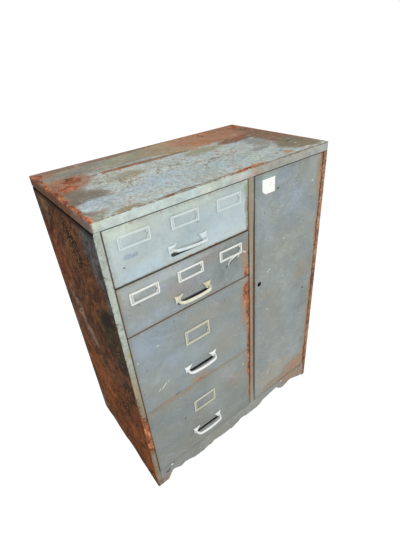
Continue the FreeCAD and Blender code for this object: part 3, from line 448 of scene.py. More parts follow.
# What time has left on each sheet, with some painted light and shade among it. A row is one patch: its
# place, half width and half height, then its strength, its turn in degrees and its softness where they
# aren't the usual ones. A wash pairs patches with the colour that they give.
WEAR_AND_PAINTED_LIGHT = {"drawer_1": {
    # Drawer 1's paint is lighter than the lower drawers': partly a paler paint, partly painted light, as the
    # top of the front stands brighter lit.
    "paint": (179, 191, 189),
    "rust": [(438, 900, 8, 90, 0.5), (300, 838, 220, 8, 0.4), (434, 848, 16, 16, 0.4)],
    "stain": [(434, 905, 24, 120, 0.6), (250, 840, 330, 10, 0.45)],
    "washes": [([(320, 900, 190, 80, 0.9), (110, 860, 130, 34, 0.7)], (174, 190, 195)),
        ([(50, 972, 90, 28, 0.8), (250, 975, 120, 18, 0.6)], (190, 202, 191)), ([(63, 909, 20, 11, 0.9),
        (82, 906, 14, 8, 0.9)], (148, 164, 174)), ([(436, 890, 20, 100, 0.8)], (142, 144, 126)),
        ([(430, 968, 16, 24, 0.8)], (150, 170, 142))],
    "pale": [(230, 915, 90, 14, 0.35)],
    "dark": [(51, 884, 5, 4, 0.8), (240, 922, 30, 8, 0.3), (262, 925, 18, 3, 0.6, -14)],
}, "drawer_2": {
    "paint": (141, 148, 146),
    "rust": [(432, 704, 26, 44, 1.0), (437, 770, 10, 100, 0.6), (230, 686, 300, 7, 0.35)],
    "stain": [(430, 750, 44, 110, 0.95), (12, 790, 26, 90, 0.6), (250, 690, 320, 9, 0.5)],
    # The first wash is a painted highlight: a lighter band along the top of drawer 2.
    "washes": [([(150, 824, 240, 26, 1.0), (40, 812, 60, 30, 0.7)], (162, 169, 169)),
        ([(145, 785, 50, 20, 0.5)], (156, 156, 166)), ([(291, 806, 90, 26, 0.8),
        (200, 760, 90, 50, 0.7)], (146, 144, 144)), ([(14, 800, 24, 60, 0.6)], (156, 152, 138)),
        ([(110, 712, 130, 36, 0.6)], (144, 155, 161))],
    "pale": [(382, 773, 40, 5, 0.9, 12), (362, 764, 20, 3, 0.9, 48), (418, 776, 16, 3, 0.8, -40),
        (396, 770, 14, 2.4, 0.8, 60)],
    "dark": [(378, 768, 36, 4, 0.8, 20), (351, 754, 10, 4, 0.9, 50), (240, 790, 40, 6, 0.3),
        (366, 762, 14, 3, 0.8, 40)],
}, "drawer_3": {
    "paint": (142, 151, 151),
    "rust": [(426, 622, 30, 74, 1.15), (430, 560, 20, 120, 0.9), (435, 460, 13, 130, 0.8),
        (222, 390, 34, 14, 0.5, 20), (432, 392, 16, 24, 0.7)],
    "stain": [(424, 570, 50, 190, 0.9), (434, 480, 26, 240, 0.95), (150, 390, 190, 14, 0.4),
        (226, 398, 80, 30, 0.8)],
    "washes": [([(60, 640, 110, 70, 0.8), (90, 530, 120, 70, 0.5)], (144, 155, 162)),
        ([(280, 620, 150, 70, 0.6), (330, 470, 130, 100, 0.6)], (142, 142, 134)),
        ([(220, 440, 140, 40, 0.5)], (134, 142, 142))],
    "pale": [(96, 612, 9, 2.4, 0.8, 16), (92, 452, 26, 3, 0.8, 40), (76, 446, 12, 2.4, 0.8, 50),
        (150, 640, 8, 2.4, 0.5, 30), (109, 460, 10, 2.4, 0.7, 30), (30, 590, 5, 5, 0.6)],
    "dark": [(155, 665, 6, 4, 0.9, 30), (130, 388, 20, 8, 0.6), (70, 470, 24, 6, 0.35),
        (28, 466, 4, 12, 0.6)],
}, "drawer_4": {
    "paint": (138, 144, 139),
    "rust": [(434, 352, 20, 40, 1.0), (434, 280, 16, 100, 0.85), (437, 150, 10, 130, 0.75),
        (90, 377, 60, 5, 0.2), (165, 376, 20, 9, 0.35)],
    "stain": [(428, 320, 46, 120, 0.9), (434, 220, 24, 240, 0.9), (150, 368, 200, 16, 0.6)],
    "washes": [([(340, 322, 60, 50, 0.8)], (152, 153, 154)), ([(368, 268, 70, 50, 0.7)], (148, 139, 130)),
        ([(150, 300, 200, 70, 0.5), (90, 180, 110, 60, 0.5)], (132, 142, 144)),
        ([(300, 130, 160, 50, 0.6)], (144, 150, 144))],
    "pale": [(405, 318, 5, 4, 0.9), (300, 200, 14, 5, 0.3, 30)],
    "dark": [(145, 250, 7, 16, 0.7, -20), (132, 258, 6, 9, 0.6, 30), (120, 240, 10, 3, 0.5)],
}, "door": {
    "paint": (140, 148, 146),
    "rust": [(768, 500, 33, 3000, 1.0), (768, 940, 46, 120, 1.1), (768, 720, 42, 100, 1.0),
        (712, 104, 92, 54, 0.5), (650, 80, 110, 16, 0.5), (760, 150, 44, 80, 0.8), (458, 560, 7, 620, 0.3),
        (481, 628, 18, 18, 0.3)],
    "stain": [(700, 112, 150, 84, 1.0), (752, 500, 34, 3000, 0.9), (457, 500, 16, 700, 0.6),
        (600, 96, 190, 40, 0.8), (507, 578, 30, 50, 0.6), (683, 590, 60, 50, 0.6),
        (745, 900, 44, 170, 0.85), (470, 800, 30, 90, 0.4), (672, 700, 60, 90, 0.35)],
    "washes": [([(580, 962, 90, 44, 0.6), (600, 890, 100, 90, 0.5)], (144, 159, 173)),
        ([(520, 970, 70, 30, 0.6)], (150, 168, 160)), ([(725, 895, 26, 90, 0.7),
        (600, 720, 130, 90, 0.4)], (148, 158, 148)), ([(594, 869, 60, 16, 0.5, 34),
        (558, 816, 50, 18, 0.5, 30), (575, 728, 50, 14, 0.5, 34), (540, 700, 44, 14, 0.5, 34),
        (620, 790, 80, 24, 0.4, 20)], (132, 140, 141)), ([(597, 677, 60, 24, 0.5, 20),
        (660, 420, 100, 190, 0.6)], (138, 149, 152)), ([(683, 600, 70, 70, 0.6),
        (540, 500, 90, 120, 0.4)], (150, 146, 134)), ([(560, 170, 170, 90, 0.8)], (156, 154, 144)),
        ([(716, 106, 110, 64, 1.1), (640, 82, 130, 20, 0.9), (758, 150, 40, 90, 0.9)], (188, 142, 114))],
    "pale": [(525, 664, 12, 2.4, 0.9, 30), (518, 658, 8, 2.4, 0.9, -50), (587, 755, 10, 2.4, 0.8, 0),
        (591, 610, 7, 2.4, 0.8, -40), (519, 505, 5, 5, 0.7), (534, 184, 5, 44, 0.55, -24),
        (707, 911, 9, 4, 0.7), (600, 556, 40, 2, 0.4, 6), (640, 735, 12, 2, 0.5, 12)],
    "dark": [(702, 507, 11, 6, 0.95), (552, 929, 9, 6, 0.9), (672, 753, 9, 3, 0.7),
        (480, 250, 7, 5, 0.6, 40), (520, 210, 16, 2.4, 0.5, 30), (500, 870, 4, 10, 0.7, -20),
        (590, 934, 6, 4, 0.6, 30), (640, 905, 5, 4, 0.6)],
}, "lid": {
    # The lid's paint is a lighter copy of the fronts' grey-green: painted light, as the top stands brighter
    # lit.
    "paint": (193, 207, 205),
    "rust": [(70, 292, 44, 50, 0.55, -22), (40, 236, 44, 40, 0.55), (14, 400, 30, 50, 0.5),
        (5, 200, 14, 420, 0.5), (384, 438, 600, 8, 0.6), (240, 286, 110, 9, 0.5), (640, 262, 60, 14, 0.5),
        (766, 250, 12, 300, 0.7), (740, 400, 60, 50, 0.5), (600, 400, 90, 40, 0.35), (197, 0, 26, 7, 0.5),
        (430, 2, 90, 7, 0.5)],
    "stain": [(240, 286, 160, 16, 0.9), (350, 278, 110, 16, 0.8), (20, 300, 40, 160, 0.5)],
    "washes": [([(10, 220, 90, 320, 1.2), (60, 140, 80, 80, 0.8)], (112, 98, 74)),
        ([(200, 390, 420, 120, 1.3)], (144, 138, 115)), ([(66, 284, 80, 90, 1.2),
        (20, 397, 60, 70, 1.1)], (160, 98, 56)), ([(14, 238, 50, 66, 1.2)], (118, 62, 38)),
        ([(76, 352, 110, 34, 1.0), (170, 380, 120, 26, 0.8)], (122, 122, 112)), ([(170, 424, 260, 34, 1.3),
        (380, 430, 220, 22, 1.1)], (124, 88, 62)), ([(289, 368, 140, 50, 1.2)], (152, 152, 122)),
        ([(450, 350, 180, 110, 1.4)], (168, 144, 108)), ([(650, 370, 280, 140, 1.6),
        (752, 290, 100, 170, 1.4)], (172, 108, 66)), ([(640, 258, 150, 40, 1.2, 6),
        (750, 380, 60, 120, 1.1)], (120, 64, 42)), ([(735, 190, 96, 170, 1.5)], (124, 88, 62)),
        ([(722, 76, 120, 96, 1.3)], (122, 112, 84)), ([(472, 240, 110, 44, 0.9),
        (200, 210, 90, 50, 0.7)], (156, 156, 128)), ([(640, 176, 60, 100, 0.7, -8),
        (590, 112, 70, 26, 0.7, 10)], (138, 148, 150)), ([(240, 287, 160, 16, 1.6),
        (640, 402, 90, 12, 0.8)], (130, 74, 52)), ([(360, 280, 130, 15, 1.5)], (118, 96, 60)),
        ([(231, 107, 170, 70, 0.9), (56, 80, 90, 60, 0.9)], (192, 211, 218)),
        ([(430, 90, 190, 70, 0.8)], (178, 198, 200)), ([(5, 18, 18, 30, 1.1)], (206, 142, 108)),
        ([(94, 8, 60, 16, 1.0), (240, 6, 60, 8, 0.8)], (158, 144, 112)), ([(197, 0, 34, 9, 1.2),
        (393, 3, 60, 9, 1.1), (464, 5, 56, 12, 1.1), (615, 22, 30, 18, 1.1)], (200, 146, 106)),
        ([(422.0, 0.0, 42, 9, 0.9, 0.0, 0.75, 15, 14.0)], (216, 217, 208)),
        ([(766.0, 0.0, 34, 9, 0.9, 0.0, 0.75, 30, 14.0)], (144, 116, 92)),
        ([(611, 46, 11, 11, 1.1)], (124, 168, 198))],
    "pale": [(150, 286, 12, 9, 0.9), (130, 262, 40, 10, 0.5, 30), (685, 16, 26, 9, 0.9),
        (700, 70, 10, 6, 0.7), (400, 130, 20, 4, 0.6, 20)],
    "dark": [(118, 212, 20, 6, 0.7, 20), (320, 300, 12, 7, 0.5), (440, 146, 26, 5, 0.8, 30),
        (390, 120, 24, 6, 0.7, 10), (706, 107, 26, 12, 0.9, 10), (370, 170, 40, 5, 0.6, 24),
        (72, 296, 14, 16, 0.8, -20), (110, 190, 20, 5, 0.6, 40), (300, 150, 9, 5, 0.7),
        (420, 60, 10, 5, 0.7, 20), (430, 142, 12, 6, 0.8), (130, 250, 26, 4, 0.6, -30),
        (640, 402, 60, 6, 0.4, -10), (758, 210, 14, 60, 0.6), (250, 3, 300, 3, 0.8),
        (620, 2, 200, 3, 0.6)],
    "cracked": [(130, 200, 150, 150, 0.9), (300, 190, 190, 90, 0.8), (430, 140, 150, 90, 0.9)],
}, "side": {
    "paint": (102, 66, 42),
    "washes": [([(150, 210, 420, 260, 1.2), (110, 80, 300, 200, 1.0)], (116, 66, 30)),
        ([(330, 330, 170, 190, 0.9)], (126, 74, 38)), ([(45, 650, 120, 160, 1.3)], (62, 52, 37)),
        ([(384, 800, 120, 190, 0.9)], (126, 72, 46)), ([(392, 935, 120, 60, 0.8)], (116, 90, 70)),
        ([(285, 540, 46, 120, 1.0, -44), (330, 620, 40, 90, 0.7, -44)], (132, 110, 95)),
        ([(0, 940, 150, 190, 0.8), (0, 820, 60, 150, 0.7)], (78, 84, 86)), ([(436, 500, 26, 560, 0.8),
        (420, 80, 40, 90, 1.0)], (104, 98, 88)), ([(190, 180, 80, 60, 0.7)], (88, 50, 28))],
    "dark": [(178, 885, 54, 120, 1.0, -23), (128, 292, 70, 56, 1.1), (60, 420, 50, 90, 0.6),
        (60, 610, 40, 60, 0.6), (20, 720, 30, 60, 0.7)],
}, "plinth": {
    "paint": (135, 137, 131),
    "rust": [(30, 4, 40, 22, 0.5), (730, 30, 50, 50, 0.7), (600, 66, 60, 18, 0.6), (470, 74, 40, 8, 0.5),
        (660, 45, 60, 30, 0.6)],
    "stain": [(680, 50, 120, 60, 0.9), (40, 16, 60, 40, 0.9)],
    "dark": [(46, 48, 24, 16, 0.75, 20), (72, 70, 20, 8, 0.6), (120, 66, 30, 6, 0.5),
        (20, 20, 8, 26, 0.6)],
}, "back": {
    "paint": (128, 132, 126),
    "rust": [(504, 120, 420, 120, 0.4), (684, 900, 120, 130, 0.45), (54, 500, 60, 480, 0.35),
        (744, 500, 40, 480, 0.35)],
    "stain": [(384, 950, 380, 70, 0.5), (384, 130, 380, 120, 0.5)],
}, "rear": {
    "paint": (124, 126, 120),
    "rust": [(384, 20, 400, 40, 0.4)],
}, "stile": {
    "paint": (144, 137, 120),
    "rust": [(446, 560, 12, 180, 0.34), (446, 250, 12, 190, 0.36), (452, 500, 5, 450, 0.3),
        (442, 700, 6, 90, 0.35)],
    "stain": [(446, 420, 30, 420, 0.95), (446, 860, 20, 160, 0.5)],
    # The two rows under dark are painted shade: dark lines down the stile's edges where the gaps to the
    # drawers and the door fall.
    "dark": [(455, 500, 5.0, 480, 1.2, 0.0, 0.4), (437.5, 500, 1.6, 480, 0.8, 0.0, 0.4)],
}}


def blend(*parts):
    """A sum of noises, each centred on 0 and times its share."""
    first, *others = [(value - 0.5) * share for value, share in parts]
    return sum(others, first)


def rust_colour(f, seed, light=0.0, tones=RUST):
    """Scaly rust: brown, red and orange at several sizes."""
    coarse = f.cloud(34, 5, 0.62, seed + 1, bend=0.8)
    fine = f.cloud(6, 6, 0.72, seed + 2)
    return f.palette(blend((coarse, 1.2), (fine, 1.3)) + 0.48 + light, *tones)


def strokes(f, angle, length, seed, least):
    """Fine scratches of one direction, in clusters."""
    line = f.cloud(1.6, 1, 0.3, seed, (0, radians(angle), 0), (length, 2.0, 0.5))
    return line.ramp(least, least + 0.03) * f.cloud(60, 2, 0.5, seed + 0.5).ramp(0.50, 0.62)


def enamel(name, wear_and_shade, seed, rust_base=-0.16, stain_base=-0.14, edge=None, edge_rust=0.34, gloss=0.46,
           shine=0.35, tones=RUST, crazed=None, covers=(), gaps=(), mottle=0.4, painted_low_shade=0.0, at=spot):
    """Old stove enamel. edge(finish) gives a mask that is 1 at edges and crazed(finish) one where the paint
    is cracked. covers lists (mask, colour) pairs for further washes, and gaps the same for the folds, where
    the fronts get painted light and shade. gloss is the roughness of the clean paint, mottle how blotchy it
    is and painted_low_shade how much painted shade darkens it downwards."""
    f = Finish(name, wear_and_shade["paint"], at)
    paint = f.colour
    broad = f.cloud(190, 4, 0.58, seed + 3, bend=0.8)
    middle = f.cloud(46, 6, 0.64, seed + 4, bend=0.6)
    ragged = f.cloud(18, 6, 0.7, seed + 21, bend=0.7)
    fine = f.cloud(8, 6, 0.7, seed + 5)
    grit = f.cloud(1.7, 4, 0.7, seed + 6)
    hue = f.cloud(130, 4, 0.58, seed + 16, bend=0.8)
    wandering = f.wandering(13.0, 42.0)

    unruly = blend((middle, 1.0), (ragged, 0.9), (fine, 0.6))
    for patches, wash in wear_and_shade.get("washes", ()):
        f.lay((f.blots(patches, wandering) + unruly).ramp(0.08, 0.78, 0.96), wash)
    for mask, wash in covers:
        f.lay(mask(f), wash)
    f.tint(hue, (0.95, 1.0, 1.08), (0.98, 1.0, 1.03), (1.01, 1.0, 0.97), (1.05, 1.0, 0.91))
    uneven = blend((broad, 0.7), (middle, mottle), (ragged, mottle * 0.7), (fine, 0.25)) + 0.5
    f.tint(uneven, (0.66, 0.66, 0.65), (0.87, 0.87, 0.86), (1.03, 1.03, 1.03), (1.2, 1.2, 1.21))
    # Painted shade: the paint darkens towards the floor, standing in for light that falls off down the front.
    if painted_low_shade:
        paint_in_shade = (paint[0] * 1.04 * 0.62, paint[1] * 0.62, paint[2] * 0.93 * 0.62, 1.0)
        f.lay((1.0 - f.z.ramp(-100.0, 900.0)) * painted_low_shade, paint_in_shade)
    wipe = f.cloud(38, 6, 0.62, seed + 7, (0, radians(28), 0), (2.6, 1.0, 0.8), 1.4)
    f.lay(wipe.ramp(0.54, 0.70) * 0.35 * mottle, (200, 209, 210))
    grime = f.cloud(28, 6, 0.68, seed + 18, bend=1.2) * 0.6 + fine * 0.4
    f.lay(grime.ramp(0.53, 0.66) * (0.06 + mottle * 0.25), (108, 103, 92))

    stained = blend((hue, 0.5), (middle, 0.5), (ragged, 0.5), (fine, 0.4)) + stain_base
    if "stain" in wear_and_shade:
        stained = stained + f.blots(wear_and_shade["stain"], wandering) * 0.8
    stained = stained.ramp(0.10, 0.66) * 0.82
    f.lay(stained, f.palette(middle * 0.4 + fine * 0.6, (108, 88, 70), STAIN, (172, 150, 124)))
    if "pale" in wear_and_shade:
        f.lay((f.blots(wear_and_shade["pale"]) * 1.3 - 0.6 + fine * 0.9).ramp(0.3, 0.8), (210, 216, 211))
    if "dark" in wear_and_shade:
        f.lay((f.blots(wear_and_shade["dark"]) * 1.2 - 0.62 + fine * 0.9).ramp(0.3, 0.85), (70, 68, 62))
    if crazed is not None:
        split = f.cracks(44, seed + 1, 0.04) * (ragged * 0.5 + hue * 0.5).ramp(0.49, 0.56) * 0.8
        split = split | f.cracks(90, seed + 2, 0.03, (1.7, 0.8, 1.0)) * broad.ramp(0.43, 0.54)
        f.lay(split * crazed(f), f.palette(fine, (84, 78, 62), (132, 120, 92)))

    marks = strokes(f, 41, 13.0, seed + 10, 0.70) | strokes(f, -24, 10.0, seed + 11, 0.71)
    fleck = f.specks(24, seed + 1, 0.05, 0.09) * f.cloud(120, 2, 0.5, seed + 12).ramp(0.45, 0.6)
    f.lay(marks * 0.5 | fleck * 0.7, (206, 208, 200))
    scars = strokes(f, 20, 9.0, seed + 19, 0.69)
    pit = f.specks(29, seed + 2, 0.05, 0.1) * f.cloud(90, 2, 0.5, seed + 13).ramp(0.48, 0.62)
    f.lay(pit * 0.85 | scars * 0.5, (72, 64, 54))

    field = blend((middle, 0.8), (ragged, 1.0), (fine, 0.9), (broad, 0.3)) + rust_base
    if "rust" in wear_and_shade:
        field = field + f.blots(wear_and_shade["rust"], wandering)
    if edge is not None:
        rim = edge(f)
        field = field + rim * edge_rust
        f.lay(rim * fine.ramp(0.36, 0.62) * 0.45, (112, 100, 84))
    rusted = field.ramp(0.42, 0.60)
    f.lay(field.ramp(0.16, 0.48) * 0.6, f.mix(0.6, f.colour, (156, 122, 90)))
    f.lay(rusted, rust_colour(f, seed, 0.0, tones))
    dull = None
    for mask, gap_tone in gaps:
        folded = mask(f)
        f.lay(folded * (0.95 - fine * 0.3), gap_tone)
        dull = folded if dull is None else dull | folded

    scale = (f.cloud(4.5, 6, 0.7, seed + 14) * 0.6 + ragged * 0.4) * rusted
    height = scale * 1.0 + (1.0 - rusted) * 0.35 + grit * 0.05 + middle * 0.2 - (marks | scars) * 0.06
    rough = rusted * 0.42 + (1.0 - rusted) * ((fine - 0.5) * 0.3 + stained * 0.18) + gloss
    rough = rough if dull is None else rough | dull
    return f.finish(rough & 0.97, height, 0.9, 0.8, specular=shine)


# Places that several finishes share

def along(value, middle, half_width, soft):
    """A mask that is 1 within half_width of middle."""
    distance = value.math("ABSOLUTE", value - middle / MM)
    return 1.0 - distance.ramp(half_width - soft / 2, half_width + soft / 2)


def beyond(value, limit, soft):
    """A mask that is 1 above a limit."""
    return value.ramp(limit / MM - soft, limit / MM + soft)


def below(value, limit, soft):
    return 1.0 - beyond(value, limit, soft)


def front_finish(name, node, seed, fold, side_fold, tones, painted_low_shade):
    """The enamel of a drawer front or the door, with painted light and shade on the folds seen in the gaps
    round its face.
    """
    low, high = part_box(node)

    def edge(f, width=7.0):
        sides = below(f.x, low.x + width * MM, width) | beyond(f.x, high.x - width * MM, width)
        ends = below(f.z, low.z + width * MM, width) | beyond(f.z, high.z - width * MM, width)
        return sides | ends

    def top_fold(f):
        return beyond(f.y, FRONT + 1.2 * MM, 0.8) * beyond(f.z, high.z - 3 * MM, 0.5)

    def side_folds(f):
        sides = below(f.x, low.x + 1.6 * MM, 0.5) | beyond(f.x, high.x - 1.6 * MM, 0.5)
        return beyond(f.y, FRONT + 0.9 * MM, 0.7) * sides

    return enamel(name + "_enamel", WEAR_AND_PAINTED_LIGHT[name], seed, edge=edge, tones=tones, mottle=0.34, painted_low_shade=painted_low_shade,
                  gaps=((top_fold, fold), (side_folds, side_fold)))


def lid_finish():
    def skirt(f):
        return below(f.y, FRONT + 1.3 * MM, 0.8)

    def left_skirt(f):
        return below(f.x, LEFT + 3.0 * MM, 1.0)

    def edge(f):
        rim = beyond(f.y, BACK - 5 * MM, 6) | beyond(f.x, RIGHT - 6 * MM, 8) | below(f.x, LEFT + 3 * MM, 4)
        return rim | along(f.z, TOP - 1.5 * MM, 2.0, 2.0)

    def crazed(f):
        return f.blots(WEAR_AND_PAINTED_LIGHT["lid"]["cracked"]) * beyond(f.z, TOP - 2.4 * MM, 0.6)

    def front_lip(f):
        wavy = f.cloud(11, 5, 0.7, 66.0).ramp(0.40, 0.56)
        return along(f.z, TOP - 2.4 * MM, 1.6, 1.6) * below(f.y, FRONT + 4 * MM, 2) * wavy

    def skirt_front(f):
        return left_skirt(f) * below(f.z, TOP - 6 * MM, 3) * (1.0 - f.y.ramp(-170.0, -60.0))

    def skirt_back(f):
        return left_skirt(f) * below(f.z, TOP - 5 * MM, 4) * f.y.ramp(-160.0, -40.0)

    covers = ((lambda f: skirt(f) * (1.0 - f.x.ramp(-40.0, 130.0)), (194, 206, 200)),
              (lambda f: skirt(f) * f.x.ramp(-20.0, 150.0), (164, 165, 157)))
    gaps = ((front_lip, (112, 94, 70)), (skirt_front, (104, 106, 102)), (skirt_back, (92, 70, 54)))
    return enamel("lid_enamel", WEAR_AND_PAINTED_LIGHT["lid"], 8.0, -0.2, edge=edge, edge_rust=0.4, gloss=0.6, shine=0.1,
                  tones=BRIGHT_RUST, crazed=crazed, covers=covers, gaps=gaps, mottle=0.7, at=lid_spot)


def stile_paint(f, seed, fine, patches, wandering):
    """What enamel is left on the folded front edge of a side."""
    paint = f.mix(f.z.ramp(420.0, 740.0), (150, 139, 120), (178, 187, 179))
    paint = f.tinted(paint, f.cloud(30, 5, 0.66, seed + 8), (0.74, 0.74, 0.7), (0.97, 0.97, 0.95),
                     (1.08, 1.08, 1.06))
    yellow = f.blots([(13, 629, 7, 16, 0.7), (7, 505, 6, 44, 0.5)], wandering, spot)
    paint = f.mix(yellow, paint, (170, 156, 104))
    paint = f.mix((fine * 0.6 + patches * 0.4).ramp(0.48, 0.62) * 0.55, paint, (120, 110, 92))
    # Painted shade: a dark strip along the left stile's inner edge, beside the gap to the drawers.
    inner = beyond(f.x, LEFT + STILE - 1.5 * MM, 0.8) * below(f.x, LEFT + STILE + 0.4 * MM, 0.2)
    return f.mix(inner * 0.8, paint, (70, 60, 48))


def side_finish(name, side, seed):
    """The sides: rusted nearly all over, with grey enamel left near the top of the front edge."""
    wear_and_shade = WEAR_AND_PAINTED_LIGHT["side"]
    f = Finish(name, wear_and_shade["paint"], side_spot)
    lean, long = (radians(-45), 0, 0), (1.0, 1.9, 1.0)
    broad = f.cloud(120, 5, 0.6, seed + 1, lean, long, 1.2)
    patches = f.cloud(34, 6, 0.68, seed + 2, lean, long, 1.0)
    fine = f.cloud(5.5, 6, 0.74, seed + 3, lean, (1.0, 1.3, 1.0))
    grit = f.cloud(2.2, 4, 0.7, seed + 4)
    wandering = f.wandering(26.0, 60.0)
    for places, wash in wear_and_shade["washes"]:
        mask = f.blots(places, wandering) + blend((patches, 1.2), (fine, 0.8))
        f.lay(mask.ramp(0.1, 0.84) * 0.94, wash)
    value = blend((broad, 1.0), (patches, 1.5), (fine, 1.3)) + 0.5
    f.tint(value, (0.26, 0.24, 0.24), (0.70, 0.68, 0.66), (1.06, 1.05, 1.02), (1.6, 1.5, 1.34))
    blotch = f.blots(wear_and_shade["dark"], wandering)
    scabs = f.cloud(9, 6, 0.75, seed + 9, lean, (1.0, 1.4, 1.0))
    flaked = (blotch * 0.55 + blend((scabs, 2.6), (fine, 0.8))).ramp(0.40, 0.54)
    f.lay(flaked * 0.9, f.palette(fine, (18, 12, 9), (38, 24, 17), (60, 38, 27)))
    seams = f.cracks(15, seed + 4, 0.16, (1.0, 1.6, 1.0))
    f.lay(seams * (blotch * 0.8 + blend((broad, 1.4))).ramp(0.14, 0.5) * 0.85, (22, 15, 11))
    speck = f.specks(7, seed + 2, 0.2, 0.36) * (blotch * 0.7 + blend((fine, 1.2))).ramp(0.24, 0.45)
    f.lay(speck * 0.85, (200, 142, 84))
    rim = below(f.z, 14 * MM, 12) | beyond(f.y, BACK - 12 * MM, 14) * 0.8
    f.lay(rim * (fine * 0.6 + patches * 0.4).ramp(0.36, 0.56) * 0.8, (46, 36, 29))
    # Painted shade: the top of the side and the groove under the lid's flange darkened, over the rust.
    f.lay(beyond(f.z, GROOVE_BOTTOM - 9 * MM, 9) * 0.85, (30, 23, 18))

    low_rust = 1.0 - f.z.ramp(250.0, 520.0)
    if side > 0:
        stile = beyond(f.x, RIGHT - STILE - 0.4 * MM, 0.2)
        age = low_rust * 0.1 + 0.5
    else:
        stile = below(f.x, LEFT + STILE + 0.4 * MM, 0.2)
        band = f.blot((0, 292, ANY, 120, 0.6), wandering, spot)
        age = low_rust * 0.14 + band + below(f.x, LEFT + 3.0 * MM, 3) * 0.2
    face = stile * below(f.y, FRONT + 1.6 * MM, 0.8)
    worn = (age + blend((fine, 1.3), (patches, 0.9))).ramp(0.24, 0.42)
    stile_rust = rust_colour(f, seed, 0.03, DUSTY_RUST if side > 0 else BRIGHT_RUST)
    f.lay(face, f.mix(worn, stile_paint(f, seed, fine, patches, wandering), stile_rust))
    painted = face * (1.0 - worn)
    height = f.cloud(13, 5, 0.68, seed + 7) * 0.6 + fine * 0.7 + grit * 0.1 + flaked * 0.3 - speck * 0.3
    rough = (0.82 + fine * 0.15 - painted * 0.3) & 0.97
    return f.finish(rough, height * (1.0 - painted), 2.6, 1.0, specular=0.1)


def handle_finish(name, paint, yellowed):
    """Chipped white paint on cast metal, yellowed in patches."""
    f = Finish(name, paint)
    fine = f.cloud(3.2, 6, 0.7, 31)
    middle = f.cloud(13, 4, 0.6, 32)
    f.tint(middle, (0.82, 0.82, 0.82), (0.96, 0.96, 0.96), (1.04, 1.04, 1.04))
    f.lay(f.cloud(22, 3, 0.5, 33).ramp(0.40, 0.62) * yellowed, (206, 198, 156))
    chip = (fine * 0.6 + middle * 0.45).ramp(0.64, 0.69)
    f.lay(chip, f.palette(fine, (66, 60, 52), (118, 108, 92), (150, 138, 118)))
    height = fine * 0.25 + (1.0 - chip) * 0.5 + f.cloud(1.1, 3, 0.6, 34) * 0.12
    return f.finish(0.42 + chip * 0.3 + fine * 0.1, height, 0.35, 0.7, specular=0.45)


def holder_finish(name, paint, lip_highlight_tone, seed, worn_by=0.0):
    """Paint on the frame's flats, with a painted highlight along its raised lips that fades where the paint
    is worn, and chips.
    """
    f = Finish(name, paint)
    fine = f.cloud(3.4, 6, 0.7, seed + 1)
    middle = f.cloud(15, 4, 0.6, seed + 2)
    lip = f.node("Attribute", {"attribute_type": "GEOMETRY", "attribute_name": "lip"}, None, "Fac")
    f.tint(middle, (0.84, 0.84, 0.82), (1.0, 1.0, 1.0), (1.1, 1.1, 1.1))
    worn = fine * 0.6 + middle * 0.4 + worn_by
    # Painted highlight on the raised lips, fading where the paint is worn.
    lip_highlight = lip * (1.0 - worn.ramp(0.58, 0.70) * 0.8)
    f.lay(lip_highlight, f.tinted(lip_highlight_tone, fine, (0.9, 0.9, 0.88), (1.0, 1.0, 1.0), (1.05, 1.05, 1.05)))
    chip = worn.ramp(0.63, 0.68)
    f.lay(chip * 0.9, f.palette(fine, (84, 76, 64), (126, 118, 102), (150, 138, 116)))
    return f.finish(0.48 + chip * 0.25, fine * 0.25 + (1.0 - chip) * 0.5, 0.3, 0.7, specular=0.4)


def bare_steel(name, paint, seed, rust=0.5, polish=0.42):
    """Rolled steel with old grease and spots of rust."""
    f = Finish(name, paint)
    fine = f.cloud(5, 6, 0.7, seed + 1)
    middle = f.cloud(26, 5, 0.6, seed + 2)
    lines = f.cloud(3, 3, 0.5, seed + 3, (0, 0, 0), (1.0, 30.0, 1.0))
    f.tint(lines * 0.6 + middle * 0.4, (0.7, 0.7, 0.7), (1, 1, 1), (1.25, 1.22, 1.18))
    rusted = (middle * 0.6 + fine * 0.5 + rust * 0.2 - 0.1).ramp(0.55, 0.68)
    f.lay(rusted, rust_colour(f, seed))
    height = fine * 0.4 * (rusted * 0.8 + 0.2) + lines * 0.1
    return f.finish(polish + rusted * 0.4 + fine * 0.1, height, 0.4, 0.6, metallic=(1.0 - rusted) * 0.85)


def inside_finish(name, paint, seed, dust=0.3):
    """The enamel inside: less worn, dusty on what faces up, rusty in patches."""
    f = Finish(name, paint)
    fine = f.cloud(6, 6, 0.68, seed + 1)
    middle = f.cloud(40, 5, 0.6, seed + 2)
    broad = f.cloud(160, 3, 0.5, seed + 3)
    f.tint(broad * 0.5 + middle * 0.5, (0.8, 0.82, 0.82), (0.98, 0.98, 0.98), (1.12, 1.12, 1.1))
    up = f.node("SeparateXYZ", None, {0: f.node("NewGeometry", output="Normal")}, 2)
    f.lay(up.ramp(0.6, 0.95) * dust * middle.ramp(0.3, 0.6), (150, 144, 130))
    rusted = (middle * 0.55 + fine * 0.5 + broad * 0.15).ramp(0.68, 0.76)
    f.lay(rusted, rust_colour(f, seed))
    scrape = f.cloud(2.4, 2, 0.4, seed + 5, (0, 0, 0), (1.0, 40.0, 1.0)).ramp(0.66, 0.7)
    f.lay(scrape * 0.5, (190, 190, 182))
    height = fine * 0.3 * rusted + (1.0 - rusted) * 0.3 + f.cloud(1.5, 3, 0.6, seed + 4) * 0.05
    return f.finish(0.5 + rusted * 0.35 + fine * 0.1, height, 0.6, 0.6, specular=0.35)


